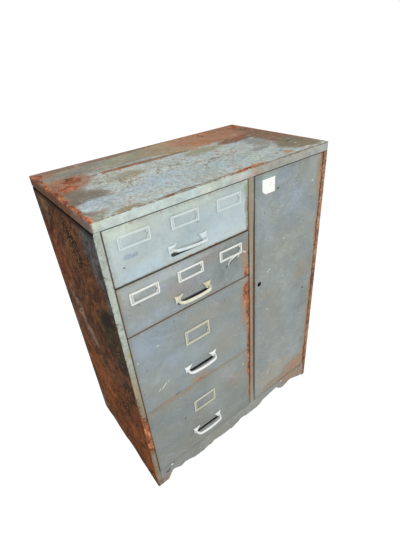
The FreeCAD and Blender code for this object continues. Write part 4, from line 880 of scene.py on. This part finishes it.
def sticker_finish():
    f = Finish("sticker_paper")
    fine = f.cloud(4, 6, 0.7, 51)
    fibre = f.cloud(0.8, 3, 0.6, 52, (0, 0.4, 0), (4, 1, 1))
    f.colour = f.palette(fine, (230, 230, 224), (244, 245, 241), (251, 252, 250))
    f.lay(f.cloud(17, 5, 0.65, 53).ramp(0.60, 0.76) * 0.3, (170, 162, 140))
    return f.finish(0.75 + fine * 0.1, fibre + fine, 0.12, 0.6, specular=0.3)


def lock_finish(name, paint, seed):
    f = Finish(name)
    fine = f.cloud(2.5, 6, 0.7, seed)
    f.colour = f.palette(fine, (14, 12, 10), paint, (70, 58, 44))
    return f.finish(0.5 + fine * 0.3, fine, 0.2, 0.6, metallic=0.4)


# Shell

LID_DENTS = ((0.145, 0.15, 0.02, 0.9), (0.44, 0.16, 0.018, 1.0), (0.62, 0.2, 0.03, 1.2),
             (0.39, 0.12, 0.04, 0.8), (0.7, 0.11, 0.03, 1.0), (0.1, 0.22, 0.016, 0.8))


def lid_dent(u, v):
    """How far the lid's top is pushed in: oil-canning, a crease across it and small dents."""
    fade = edge_fade(u, LEFT, RIGHT, 0.05) * edge_fade(v, FRONT, BACK, 0.05)
    depth = 1.5 * MM * waves(u, v, 3.1, 0.26)
    crease = exp(-((v - FRONT - 0.285) / 0.009) ** 2) * (0.8 + 0.5 * waves(u, 0, 5.0, 0.08)) * 0.9 * MM
    crease *= edge_fade(u, LEFT + 0.06, LEFT + 0.62, 0.05)
    for x, y, radius, deep in LID_DENTS:
        distance = hypot(u - LEFT - x, v - FRONT - y) / radius
        depth += deep * MM * exp(-distance * distance)
    return depth * fade + crease + 0.25 * MM * waves(u, v, 9.0, 0.02) * fade


def make_lid():
    radius, hem = 3 * MM, 12 * MM
    lid = pan("lid_shell", LEFT, RIGHT, FRONT, BACK, lambda u, v, w: (u, v, TOP - w), TOP - LID_BOTTOM,
              radius, radius, 6 * MM, lid_dent)
    end = RIGHT - 4.5 * MM
    hems = [bar("hem", (-end, y, LID_BOTTOM), (end, y + hem - SHEET, LID_BOTTOM + SHEET))
            for y in (FRONT + SHEET, BACK - hem)]
    done(by_angle(join("lid_shell", [lid, *hems])), "top_panel", lid_finish())


def rust_relief(y, z, seed):
    """Scale and pits of a rusted sheet, 0 to about 1 mm deep."""
    scale = noise.fractal(Vector((y / 0.03, z / 0.03, seed)), 0.8, 2.1, 4)
    pits = noise.fractal(Vector((y / 0.007, z / 0.007, seed + 7)), 0.9, 2.0, 3)
    return MM * min(0.95, max(0.05, 0.5 + 0.4 * scale + 0.2 * pits))


def nibbled(place, seed):
    """How far rust has eaten up a side's lower edge: three bites and a fine raggedness."""
    depth = 2.4 * MM * max(0.0, noise.fractal(Vector((place / 0.016, seed, 1.7)), 0.9, 2.0, 4) + 0.1)
    for middle, half_width, deep in ((0.182, 0.05, 0.011), (0.35, 0.03, 0.007), (0.09, 0.02, 0.003)):
        depth += deep * exp(-((place - FRONT - middle) / half_width) ** 4)
    return depth


def make_side(name, node, side, seed):
    """A side sheet with its front stile folded in one piece. side is -1 on the left, 1 on the right."""
    outer = LEFT if side < 0 else RIGHT
    returned, flange, bend = 30 * MM, 14 * MM, FOLD_RADIUS
    top = LID_BOTTOM - 1 * MM
    path = [(flange, BACK, 0, 1, 0), (bend, BACK, 0, 1, 0)]
    path += [(bend - bend * sin(t), BACK - bend + bend * cos(t), -sin(t), cos(t), 0)
             for t in quarter(4)[1:]]
    path += [(0.0, y, -1, 0, 0) for y in spread(BACK - bend, FRONT + bend, 3.5 * MM)[1:]]
    path += [(bend - bend * cos(t), FRONT + bend - bend * sin(t), -cos(t), -sin(t),
              (1 - cos(t))) for t in quarter(5)[1:]]
    path += [(x, FRONT, 0, -1, 1) for x in spread(bend, STILE, 5 * MM)[1:]]
    path += [(STILE, FRONT + returned, 1, 0, 1)]
    heights = [z / GROOVE_BOTTOM for z in spread(0, GROOVE_BOTTOM, 3.5 * MM)]
    verts = []
    for share in heights:
        for inward, y, nx, ny, stile_share in path:
            whole = GROOVE_BOTTOM + (top - GROOVE_BOTTOM) * stile_share
            low = nibbled(y, seed) * edge_fade(y, FRONT, BACK, 0.03)
            z = low + share * (whole - low)
            push = 0.0
            if nx < -0.99 and FRONT + bend < y < BACK - bend:
                fade = edge_fade(y, FRONT, BACK, 0.02) * edge_fade(share, 0, 1, 0.03)
                push = rust_relief(y, z, seed) * fade
            verts.append((outer - side * (inward - nx * push), y - ny * push, z))
    faces = [face if side < 0 else face[::-1] for face in grid_faces(len(heights), len(path))]
    skin = rest_on_floor(thicken(finish_mesh("skin", verts, faces)))
    ledge_low = GROOVE_BOTTOM - SHEET
    groove = 3 * MM
    across = sorted((outer, outer - side * (groove + SHEET)))
    wall = sorted((outer - side * groove, outer - side * (groove + SHEET)))
    ledge = bar("ledge", (across[0], FRONT + 2 * MM, ledge_low),
                (across[1], BACK - 3 * MM, GROOVE_BOTTOM - 0.02 * MM))
    plate = bar("plate", (wall[0], FRONT + 3 * MM, ledge_low),
                (wall[1], BACK - 6 * MM, LID_BOTTOM + 20 * MM))
    done(by_angle(join(name, [skin, ledge, plate]), 50), node, side_finish(name + "_rust", side, seed))


def front_pan(name, node, seed, amount, foot_radius, step):
    """The folded sheet of a drawer front or the door, with shallow dents."""
    low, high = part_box(node)

    def dent(u, v):
        fade = edge_fade(u, low.x, high.x, 0.03) * edge_fade(v, low.z, high.z, 0.03)
        return fade * MM * (amount * waves(u, v, seed, 0.16) + 0.15 * waves(u, v, seed + 4, 0.03))
    return pan(name, low.x, high.x, low.z, high.z, lambda u, v, w: (u, FRONT + w, v), high.y - low.y,
               FOLD_RADIUS, foot_radius, step, dent)


def make_drawer_front(name):
    number = float(name[-1])
    foot_radius = {"drawer_1": 7, "drawer_2": 4.5, "drawer_3": 3.0, "drawer_4": 2.6}[name] * MM
    front = front_pan(name + "_face", name + "_front", number * 3.3, 1.1, foot_radius, 6 * MM)
    drop, half_height = (26.4, 6.4) if name == "drawer_1" else (24.8, 5.7)
    middle_z = EAR_HEIGHTS[name] - drop * MM
    half_height, half_length = half_height * MM, 51 * MM
    ring = []
    for end, start in ((half_length - half_height, -90), (half_height - half_length, 90)):
        for k in range(9):
            t = radians(start + 22.5 * k)
            ring.append((DRAWERS_MIDDLE + end + half_height * cos(t), middle_z + half_height * sin(t)))
    cut(front, prism(ring, FRONT - CUT_REACH, FRONT + 6 * MM))
    # Painted light and shade seen in the gaps: the top fold's tone, dark under the lid and lit on the lowest
    # drawer, then the side folds' tone; 0.3 is the painted shade towards the floor.
    fold = {"drawer_1": (96, 98, 90), "drawer_2": (78, 66, 56), "drawer_3": (112, 100, 84),
            "drawer_4": (182, 156, 124)}[name]
    done(by_angle(front), name + "_front",
         front_finish(name, name + "_front", number, fold, (126, 118, 104), BRIGHT_RUST, 0.3))


def make_door():
    door = front_pan("door_face", "door_panel", 41.0, 1.6, FOLD_RADIUS, 7 * MM)
    low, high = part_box("door_panel")
    lock = sum(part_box("lock_housing"), Vector()) / 2
    cut(door, tube(lock.x, lock.z, 8.5 * MM))
    pin = sum(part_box("door_pivot_pins"), Vector()) / 2
    hole = tube(0, 0, 3.5 * MM, low.z - CUT_REACH, high.z + CUT_REACH, 24)
    hole.data.transform(Matrix.Translation((pin.x, pin.y, 0)) @ Matrix.Rotation(pi / 2, 4, "X")
                        @ Matrix.Scale(-1, 4, (0, 1, 0)))
    cut(door, rework(hole, face_outward))
    # Painted shade on the door's folds in the gaps round it; 0.1 is the painted shade towards the floor.
    done(by_angle(door), "door_panel",
         front_finish("door", "door_panel", 6.0, (60, 54, 46), (40, 32, 25), DUSTY_RUST, 0.1))


# The base rail's rusted lower edge: places from the left edge and heights over the floor, in millimetres
EATEN_EDGE = ((0, 0), (42, 0), (50, 12), (64, 33), (72, 34), (84, 26), (100, 18), (115, 25), (130, 22),
              (146, 16), (160, 10), (200, 7), (220, 15), (234, 11), (250, 19), (280, 13), (300, 11),
              (326, 13), (340, 8), (356, 14), (372, 18), (386, 27), (400, 25), (416, 19), (475, 19),
              (492, 23), (506, 35), (545, 41), (562, 45), (580, 49), (590, 44), (602, 31), (616, 22),
              (630, 19), (655, 29), (670, 34), (700, 24), (716, 17), (730, 11), (748, 9), (756, 0),
              (768, 0))
BASE_HOLES = (65 * MM, 614 * MM)


def apron_edge(x):
    """Height of the base rail's lower edge at x."""
    place = (x - LEFT) / MM
    for (a, low), (b, high) in zip(EATEN_EDGE, EATEN_EDGE[1:]):
        if a <= place <= b:
            return (low + (high - low) * (place - a) / (b - a)) * MM
    return 0.0


def make_plinth():
    """The base rail, its lower edge eaten by rust."""
    edges = spread(DRAWERS_LEFT, BAY_RIGHT, 2.5 * MM)
    rows = 12
    fold = 1.5 * MM
    verts = []
    for x in edges:
        fade = edge_fade(x, LEFT + 20 * MM, RIGHT - 14 * MM, 0.02)
        low = apron_edge(x) + 3.2 * MM * abs(noise.fractal(Vector((x / 0.009, 1.3, 4.2)), 0.9, 2.0, 3)) * fade
        verts += [(x, FRONT + 18 * MM, BASE_TOP), (x, FRONT + fold, BASE_TOP),
                  (x, FRONT + 0.4 * MM, BASE_TOP - 0.4 * MM)]
        for k in range(rows + 1):
            z = BASE_TOP - fold + (low - BASE_TOP + fold) * k / rows
            sway = 0.5 * MM * waves(x, z, 6.0, 0.09) * edge_fade(x, DRAWERS_LEFT, BAY_RIGHT, 0.03) * k / rows
            verts.append((x, FRONT + sway, z))
    plinth = rest_on_floor(thicken(finish_mesh("plinth", verts, grid_faces(len(edges), rows + 4))))
    for x in BASE_HOLES:
        cut(plinth, tube(LEFT + x, BASE_TOP - 9 * MM, 4 * MM, sides=20))
    done(by_angle(plinth), "base_rail_front", enamel("plinth_enamel", WEAR_AND_PAINTED_LIGHT["plinth"], 12.0, -0.3))


# Handles and label frames, with sizes in millimetres

def grip_path():
    """Points along the grip from one ear to the other, in its own plane: across and out."""
    reach, crown, bend, half = 24.2, 4.2, 15.0, 51.5
    radius = (half * half + crown * crown) / (2 * crown)
    centre = reach - radius
    bend_x = half - bend
    bend_v = centre + sqrt((radius - bend) ** 2 - bend_x ** 2)
    angle = atan2(bend_v - centre, bend_x)
    right = [(half, bend_v * k / 4) for k in range(4)]
    right += [(bend_x + bend * cos(angle * k / 12), bend_v + bend * sin(angle * k / 12))
              for k in range(13)]
    crest = [angle + (pi / 2 - angle) * k / 12 for k in range(1, 13)]
    right += [(radius * cos(t), centre + radius * sin(t)) for t in crest]
    return right + [(-x, v) for x, v in reversed(right[:-1])]


def make_grip(root, lean, half_height, sag):
    """The bow: an oval bar that thickens towards its ears. root is its height on them, and sag lowers its
    right end and lifts its left one."""
    out = Vector((0, -cos(lean), -sin(lean)))
    up = Vector((0, -sin(lean), cos(lean)))
    path = grip_path()
    sides = 20
    verts = []
    for i, (x, v) in enumerate(path):
        before = path[max(0, i - 1)]
        after = path[min(len(path) - 1, i + 1)]
        along_x, along_v = after[0] - before[0], after[1] - before[1]
        length = hypot(along_x, along_v)
        across = Vector((-along_v / length, 0, 0)) + out * (along_x / length)
        swell = 1.0 + 0.18 * max(0.0, 1 - v / 9)
        for k in range(sides):
            t = tau * k / sides
            offset = across * (3.7 * swell * cos(t)) + up * (half_height * swell * sin(t))
            verts.append(Vector((x, 0, root - sag * x * min(1.0, v / 12))) + out * v + offset)
    faces = []
    for i in range(len(path) - 1):
        for k in range(sides):
            a, b = i * sides + k, i * sides + (k + 1) % sides
            faces.append((a, b, b + sides, a + sides))
    faces.append(tuple(range(sides))[::-1])
    last = (len(path) - 1) * sides
    faces.append(tuple(range(last, last + sides)))
    return finish_mesh("grip", verts, faces)


def make_ear(side):
    """A fishtail ear that leans outwards at its top."""
    top, foot, rise, height, notch, tilt, reach, thick = 14.6, 6.4, 4.0, 19.0, 3.4, side * 5.0, 51.5, 3.6
    outline = []
    for k in range(13):
        share = k / 6 - 1
        outline.append((share * top - tilt, rise - notch * (1 - share * share)))
    flank = [(foot + (top - foot) * (1 - k / 8) ** 1.9, k / 8) for k in range(1, 9)]
    outline += [(x - tilt * (1 - share), rise - (height + rise) * share) for x, share in flank]
    outline += [(-x - tilt * (1 - share), rise - (height + rise) * share) for x, share in reversed(flank)]
    work = bmesh.new()
    face = work.faces.new([work.verts.new((x + side * reach, 0.0, z)) for x, z in outline])
    raised = bmesh.ops.extrude_face_region(work, geom=[face])
    moved = [v for v in raised["geom"] if isinstance(v, bmesh.types.BMVert)]
    bmesh.ops.translate(work, vec=(0, -thick, 0), verts=moved)
    face_outward(work)
    return from_work("ear", work)


def make_handle_cast(root, lean, half_height, sag=0.0):
    """Grip and ears cast in one: remeshed together, which fills the corners between them."""
    grip = make_grip(root, radians(lean), half_height, sag)
    cast = join("handle_cast", [grip, make_ear(-1), make_ear(1)])
    modify(cast, "REMESH", mode="VOXEL", voxel_size=0.65)
    modify(cast, "SMOOTH", factor=0.5, iterations=5)
    modify(cast, "DECIMATE", ratio=0.3)
    for vert in cast.data.vertices:
        vert.co.y = min(vert.co.y, 0.0)
        rough = noise.noise(vert.co * 0.35) * 0.12
        vert.co += vert.normal * (rough - 0.05)
        vert.co.y = min(vert.co.y, 0.0)
    return cast


def place_handle(cast, name, finish):
    """Puts a copy of a cast handle on a drawer."""
    mesh = cast.data.copy()
    mesh.transform(Matrix.Translation((DRAWERS_MIDDLE, FRONT, EAR_HEIGHTS[name])) @ Matrix.Scale(MM, 4))
    mesh.polygons.foreach_set("use_smooth", [True] * len(mesh.polygons))
    done(link(name + "_bow", mesh), name + "_handle", finish)


def make_label_frame(name, node, rail, end, bright, finish):
    """A stamped frame with a raised rim, a window, a thumb notch and two pins. Its lip attribute marks the
    raised edges, bright wide at the rim, where the finish paints a highlight.
    """
    low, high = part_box(node)
    middle_z = (low.z + high.z) / 2
    back, front = high.y, low.y
    notch, least = 4.5 * MM, 0.6 * MM

    def loop(x0, x1, z0, z1, corner, bite):
        points = []
        corners = ((x1 - corner, z0 + corner, -90), (x1 - corner, z1 - corner, 0),
                   (x0 + corner, z1 - corner, 90), (x0 + corner, z0 + corner, 180))
        for index, (cx, cz, start) in enumerate(corners):
            for k in range(4):
                t = radians(start + 30 * k)
                points.append((cx + corner * cos(t), cz + corner * sin(t)))
            if index == 0:
                for k in range(9):
                    t = radians(-90 + 22.5 * k)
                    points.append((x1 + bite * cos(t), middle_z + notch * sin(t)))
        return points

    def inset(by, y, lip):
        corner = max(least, 2.2 * MM - by)
        return loop(low.x + by, high.x - by, low.z + by, high.z - by, corner, 0.0), y, lip

    def around(by, y, lip):
        across, up = end - by, rail - by
        return loop(low.x + across, high.x - across, low.z + up, high.z - up, least + by, notch), y, lip

    rings = [inset(0, back, 0.2), inset(0, front + 0.6 * MM, 0.8), inset(0.6 * MM, front, 1.0),
             inset(bright, front + 0.05 * MM, 1.0), inset(bright + 0.5 * MM, front + 0.8 * MM, 0.0),
             around(1.9 * MM, front + 0.9 * MM, 0.0), around(1.4 * MM, front + 0.5 * MM, 0.9),
             around(0.2 * MM, front + 0.5 * MM, 0.9), around(0.0, front + 0.9 * MM, 0.6),
             around(0.0, back, 0.0)]
    verts = [(x, y, z) for ring, y, lip in rings for x, z in ring]
    count = len(rings[0][0])
    faces = []
    for r in range(len(rings)):
        a, b = r * count, ((r + 1) % len(rings)) * count
        for k in range(count):
            faces.append((a + k, b + k, b + (k + 1) % count, a + (k + 1) % count))
    piece = finish_mesh(name, verts, faces)
    layer = piece.data.attributes.new("lip", "FLOAT", "POINT")
    layer.data.foreach_set("value", [lip for ring, y, lip in rings for corner in ring])

    def add_pins(work):
        tag = work.verts.layers.float["lip"]
        for x in (low.x + end * 0.45, high.x - end * 0.45):
            dome = bmesh.ops.create_uvsphere(work, u_segments=14, v_segments=8, radius=1.5 * MM)["verts"]
            bmesh.ops.scale(work, vec=(1, 0.55, 1), verts=dome)
            bmesh.ops.translate(work, vec=(x, front + 0.9 * MM, middle_z), verts=dome)
            for vert in dome:
                vert[tag] = 0.6
        face_outward(work)
    done(by_angle(rework(piece, add_pins), 30), node, finish)


def make_sticker_sheet():
    """Bare paper with a torn, curling corner."""
    low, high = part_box("door_sticker")
    columns, rows = 26, 24
    verts, faces = [], []
    for i in range(columns + 1):
        for j in range(rows + 1):
            u, v = i / columns, j / rows
            x, z = low.x + (high.x - low.x) * u, low.z + (high.z - low.z) * v
            curl = 1.2 * MM * max(0.0, 1 - (u + v) / 0.5) ** 2
            verts.append((x, FRONT - (0.25 * MM + curl + 0.12 * MM * waves(x, z, 2.0, 0.012)), z))
    for i in range(columns):
        for j in range(rows):
            ragged = 0.24 + 0.06 * noise.noise(Vector((i * 0.5, j * 0.5, 3.0)))
            if (i + 0.5) / columns + (j + 0.5) / rows > ragged:
                a = i * (rows + 1) + j
                faces.append((a, a + rows + 1, a + rows + 2, a + 1))

    def drop_loose(work):
        bmesh.ops.delete(work, geom=[v for v in work.verts if not v.link_faces], context="VERTS")
    sheet = rework(finish_mesh("paper_square", verts, faces), drop_loose)
    done(thicken(sheet, 0.2 * MM), "door_sticker", sticker_finish())


# Back

def make_back():
    low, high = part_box("back_panel")
    columns = spread(low.x, high.x, 9 * MM)
    rows = spread(low.z, high.z, 9 * MM)
    verts = []
    for x in columns:
        for z in rows:
            fade = edge_fade(x, low.x, high.x, 0.06) * edge_fade(z, low.z, high.z, 0.06)
            verts.append((x, high.y - 0.75 * SHEET * waves(x, z, 17.0, 0.24) * fade, z))
    sheet = thicken(finish_mesh("back_sheet", verts, grid_faces(len(columns), len(rows))))
    done(by_angle(sheet), "back_panel", enamel("back_enamel", WEAR_AND_PAINTED_LIGHT["back"], 15.0, -0.06, 0.05))


SCREW = {"Head radius": 4.5 * MM, "Head height": 2.2 * MM, "Shank radius": 2 * MM, "Shank length": 8 * MM}


def screw_tree():
    """Round-headed slotted screws on every point, each turned its own way."""
    tree = bpy.data.node_groups.new("slotted_screws", "GeometryNodeTree")
    sockets = [("Geometry", "Geometry", "INPUT"), *[(label, "Float", "INPUT") for label in SCREW],
               ("Metal", "Material", "INPUT"), ("Geometry", "Geometry", "OUTPUT")]
    for label, kind, way in sockets:
        tree.interface.new_socket(label, in_out=way, socket_type="NodeSocket" + kind)

    def add(kind, inputs=None, output=0, begins="GeometryNode", **settings):
        return Wire.node(tree, begins + kind, settings, inputs, output)

    def given(label):
        return add("GroupInput", None, label, "Node")

    def vector(x=0.0, y=0.0, z=0.0):
        return add("CombineXYZ", {0: x, 1: y, 2: z}, 0, "ShaderNode")

    def block(x, y, z, height):
        cube = add("MeshCube", {"Size": vector(x, y, z)}, "Mesh")
        return add("Transform", {"Geometry": cube, "Translation": vector(z=height)})

    radius, height, shank_radius, shank_length = [given(label) for label in SCREW]
    ball = add("MeshUVSphere", {"Segments": 24, "Rings": 12, "Radius": 1.0}, "Mesh")
    dome = add("Transform", {"Geometry": ball, "Scale": vector(radius, radius, height)})
    wide = radius * 3.0
    slot = block(wide, radius * 0.22, height, height)
    under = block(wide, wide, wide, wide * -0.5)
    head = add("MeshBoolean", {"Mesh 1": dome, "Mesh 2": slot}, operation="DIFFERENCE")
    tree.links.new(under.socket, head.socket.node.inputs["Mesh 2"])
    shank = add("MeshCylinder", {"Vertices": 16, "Radius": shank_radius, "Depth": shank_length}, "Mesh")
    shank = add("Transform", {"Geometry": shank, "Translation": vector(z=shank_length * -0.5)})
    screw = add("JoinGeometry", {0: head})
    tree.links.new(shank.socket, screw.socket.node.inputs[0])
    spin = add("RandomValue", {2: 0.0, 3: pi, "Seed": 7}, 1, "FunctionNode", data_type="FLOAT")
    turn = add("RotateEuler", {"Rotation": vector(-pi / 2), "Rotate By": vector(z=spin)}, 0, "FunctionNode",
               space="LOCAL")
    placed = add("InstanceOnPoints", {"Points": given("Geometry"), "Instance": screw, "Rotation": turn})
    real = add("RealizeInstances", {"Geometry": placed})
    shaded = add("SetMaterial", {"Geometry": real, "Material": given("Metal")})
    add("GroupOutput", {0: shaded}, 0, "Node")
    return tree


def make_back_screws(metal):
    margin = 60 * MM
    heights = spread(BASE_TOP + margin, LID_BOTTOM - margin, (LID_BOTTOM - BASE_TOP - 2 * margin) / 4)
    places = [(x, BACK, z) for x in (LEFT + 7 * MM, RIGHT - 7 * MM) for z in heights]
    screws = finish_mesh("back_screw_heads", places, [])
    maker = screws.modifiers.new("screws", "NODES")
    maker.node_group = screw_tree()
    values = {**SCREW, "Metal": metal}
    for item in maker.node_group.interface.items_tree:
        if item.in_out == "INPUT" and item.name in values:
            maker[item.identifier] = values[item.name]
    done(by_angle(settle(screws), 40), "back_panel_screws")


# Stage

class Backdrop:
    """Nodes of the floor or the world, which both show white to the camera and still take shadow or light."""

    def __init__(self, owner):
        owner.use_nodes = True
        self.tree = owner.node_tree
        self.tree.nodes.clear()

    def node(self, kind, inputs=None, output=0):
        return Wire.node(self.tree, "ShaderNode" + kind, None, inputs, output)

    def show(self, output, lit, plain, share=1.0):
        """Shows plain where it is seen straight or through gloss or glass, and lit to everything else."""
        camera, gloss, glass = [self.node("LightPath", None, f"Is {ray} Ray")
                                for ray in ("Camera", "Glossy", "Transmission")]
        shown = self.node("MixShader", {0: (camera | gloss | glass) * share, 1: lit, 2: plain})
        self.node(output, {"Surface": shown})


def make_stage():
    floor = finish_mesh("floor", [(-9, -9, 0), (9, -9, 0), (9, 9, 0), (-9, 9, 0)], [(0, 1, 2, 3)], False)
    white = (1, 1, 1, 1)
    material = bpy.data.materials.new("floor_white")
    drop = Backdrop(material)
    lit = drop.node("BsdfDiffuse", {"Color": (0.62, 0.62, 0.62, 1)})
    drop.show("OutputMaterial", lit, drop.node("Emission", {"Color": white, "Strength": 1.2}), 0.78)
    floor.data.materials.append(material)
    world = bpy.data.worlds.new("studio")
    bpy.context.scene.world = world
    drop = Backdrop(world)
    lit, plain = [drop.node("Background", {"Color": white, "Strength": strength}) for strength in (0.55, 1.0)]
    drop.show("OutputWorld", lit, plain)


def add_lamp(name, place, target, size, power):
    data = bpy.data.lights.new(name, "AREA")
    data.shape = "DISK"
    data.size = size
    data.energy = power
    lamp = link(name, data)
    lamp.location = place
    lamp.rotation_euler = (Vector(target) - Vector(place)).to_track_quat("-Z", "Y").to_euler()


def add_camera():
    data = bpy.data.cameras.new("camera")
    data.sensor_fit = "HORIZONTAL"
    data.sensor_width = CAMERA_SENSOR
    data.lens = CAMERA_LENS
    data.clip_start = 0.01
    camera = link("camera", data)
    turn = (Matrix.Rotation(-CAMERA_HEADING, 4, "Z") @ Matrix.Rotation(pi / 2 + CAMERA_TILT, 4, "X")
            @ Matrix.Rotation(-CAMERA_ROLL, 4, "Z"))
    camera.matrix_world = Matrix.Translation(CAMERA_PLACE) @ turn
    bpy.context.scene.camera = camera


# Putting it together

def dress(node, material):
    mesh = frame["nodes"][node].data
    mesh.materials.clear()
    mesh.materials.append(material)


def dress_solids(screw_metal):
    """Finishes for the solids that show as they are."""
    runner_metal = bare_steel("runner_steel", (140, 136, 128), 62, 0.4, 0.38)
    fitting_metal = bare_steel("fitting_steel", (158, 154, 146), 63, 0.3, 0.4)
    inside = inside_finish("inside_enamel", (128, 134, 130), 64)
    tray_inside = inside_finish("tray_enamel", (112, 118, 116), 65, 0.5)
    for node in frame["nodes"]:
        if "runners" in node or "slide_members" in node:
            dress(node, runner_metal)
        elif node.endswith("_screws") or node == "door_pivot_pins":
            dress(node, screw_metal)
        elif node.startswith("shelf_") and not node[-1].isdigit() or node.startswith("door_pivot_"):
            dress(node, fitting_metal)
        elif node.endswith(("_tray", "_dividers")):
            dress(node, tray_inside)
        elif node.startswith("shelf_") or node in ("bottom_panel", "drawer_cross_rails", "door_inner_panel"):
            dress(node, inside)
    dress("base_rail_back", enamel("rear_enamel", WEAR_AND_PAINTED_LIGHT["rear"], 19.0, -0.1, 0.0))
    dress("centre_partition", enamel("stile_enamel", WEAR_AND_PAINTED_LIGHT["stile"], 22.0, -0.16, -0.05))
    dress("lock_housing", lock_finish("lock_black", (34, 29, 25), 71))
    dress("lock_plug", lock_finish("plug_metal", (30, 27, 24), 72))
    dress("lock_cam", fitting_metal)


def make_drawers():
    """The four fronts with their handles and label frames."""
    low_cast = make_handle_cast(-10.0, 6, 5.4)
    high_cast = make_handle_cast(-8.4, 3, 4.3, 0.055)
    grips = {
        "drawer_1": handle_finish("grip_paint_high", (212, 222, 225), 0.1),
        "drawer_2": handle_finish("grip_paint_cream", (226, 226, 208), 0.75),
        "drawer_3": handle_finish("grip_paint_low", (238, 241, 240), 0.1),
    }
    # The second colour of each frame is the painted highlight on its raised lips.
    frames = {
        "drawer_1": holder_finish("frame_grey", (176, 189, 189), (208, 217, 216), 81),
        "drawer_2": holder_finish("frame_white", (176, 180, 176), (238, 240, 234), 82),
        "drawer_3": holder_finish("frame_cream", (146, 146, 130), (214, 212, 190), 83, 0.02),
    }
    for paints in (grips, frames):
        paints["drawer_4"] = paints["drawer_3"]
    for name in EAR_HEIGHTS:
        make_drawer_front(name)
        place_handle(high_cast if name == "drawer_1" else low_cast, name, grips[name])
        rail, end, bright = (7.0, 8.0, 3.2) if name in ("drawer_3", "drawer_4") else (5.6, 9.0, 2.6)
        for node in sorted(frame["nodes"]):
            if node.startswith(name + "_label_holder"):
                make_label_frame(node.replace("holder", "frame"), node, rail * MM, end * MM, bright * MM,
                                 frames[name])
    bpy.data.objects.remove(low_cast)
    bpy.data.objects.remove(high_cast)


def main():
    screw_metal = bare_steel("screw_steel", (150, 146, 140), 61, 0.9, 0.4)
    dress_solids(screw_metal)
    make_lid()
    make_side("left_side_sheet", "left_side_panel", -1, 2.0)
    make_side("right_side_sheet", "right_side_panel", 1, 5.0)
    make_plinth()
    make_back()
    make_back_screws(screw_metal)
    make_door()
    make_sticker_sheet()
    make_drawers()
    make_stage()
    add_camera()
    add_lamp("key_softbox", (-1.9, -3.3, 2.5), (0, 0, 0.5), 2.2, 85)
    add_lamp("fill_softbox", (2.8, -2.0, 2.2), (0, 0, 0.5), 2.6, 35)
    add_lamp("rear_softbox", (0.5, 3.0, 3.0), (0, 0, 0.6), 2.4, 35)
    bpy.context.scene.view_settings.view_transform = "Standard"


main()
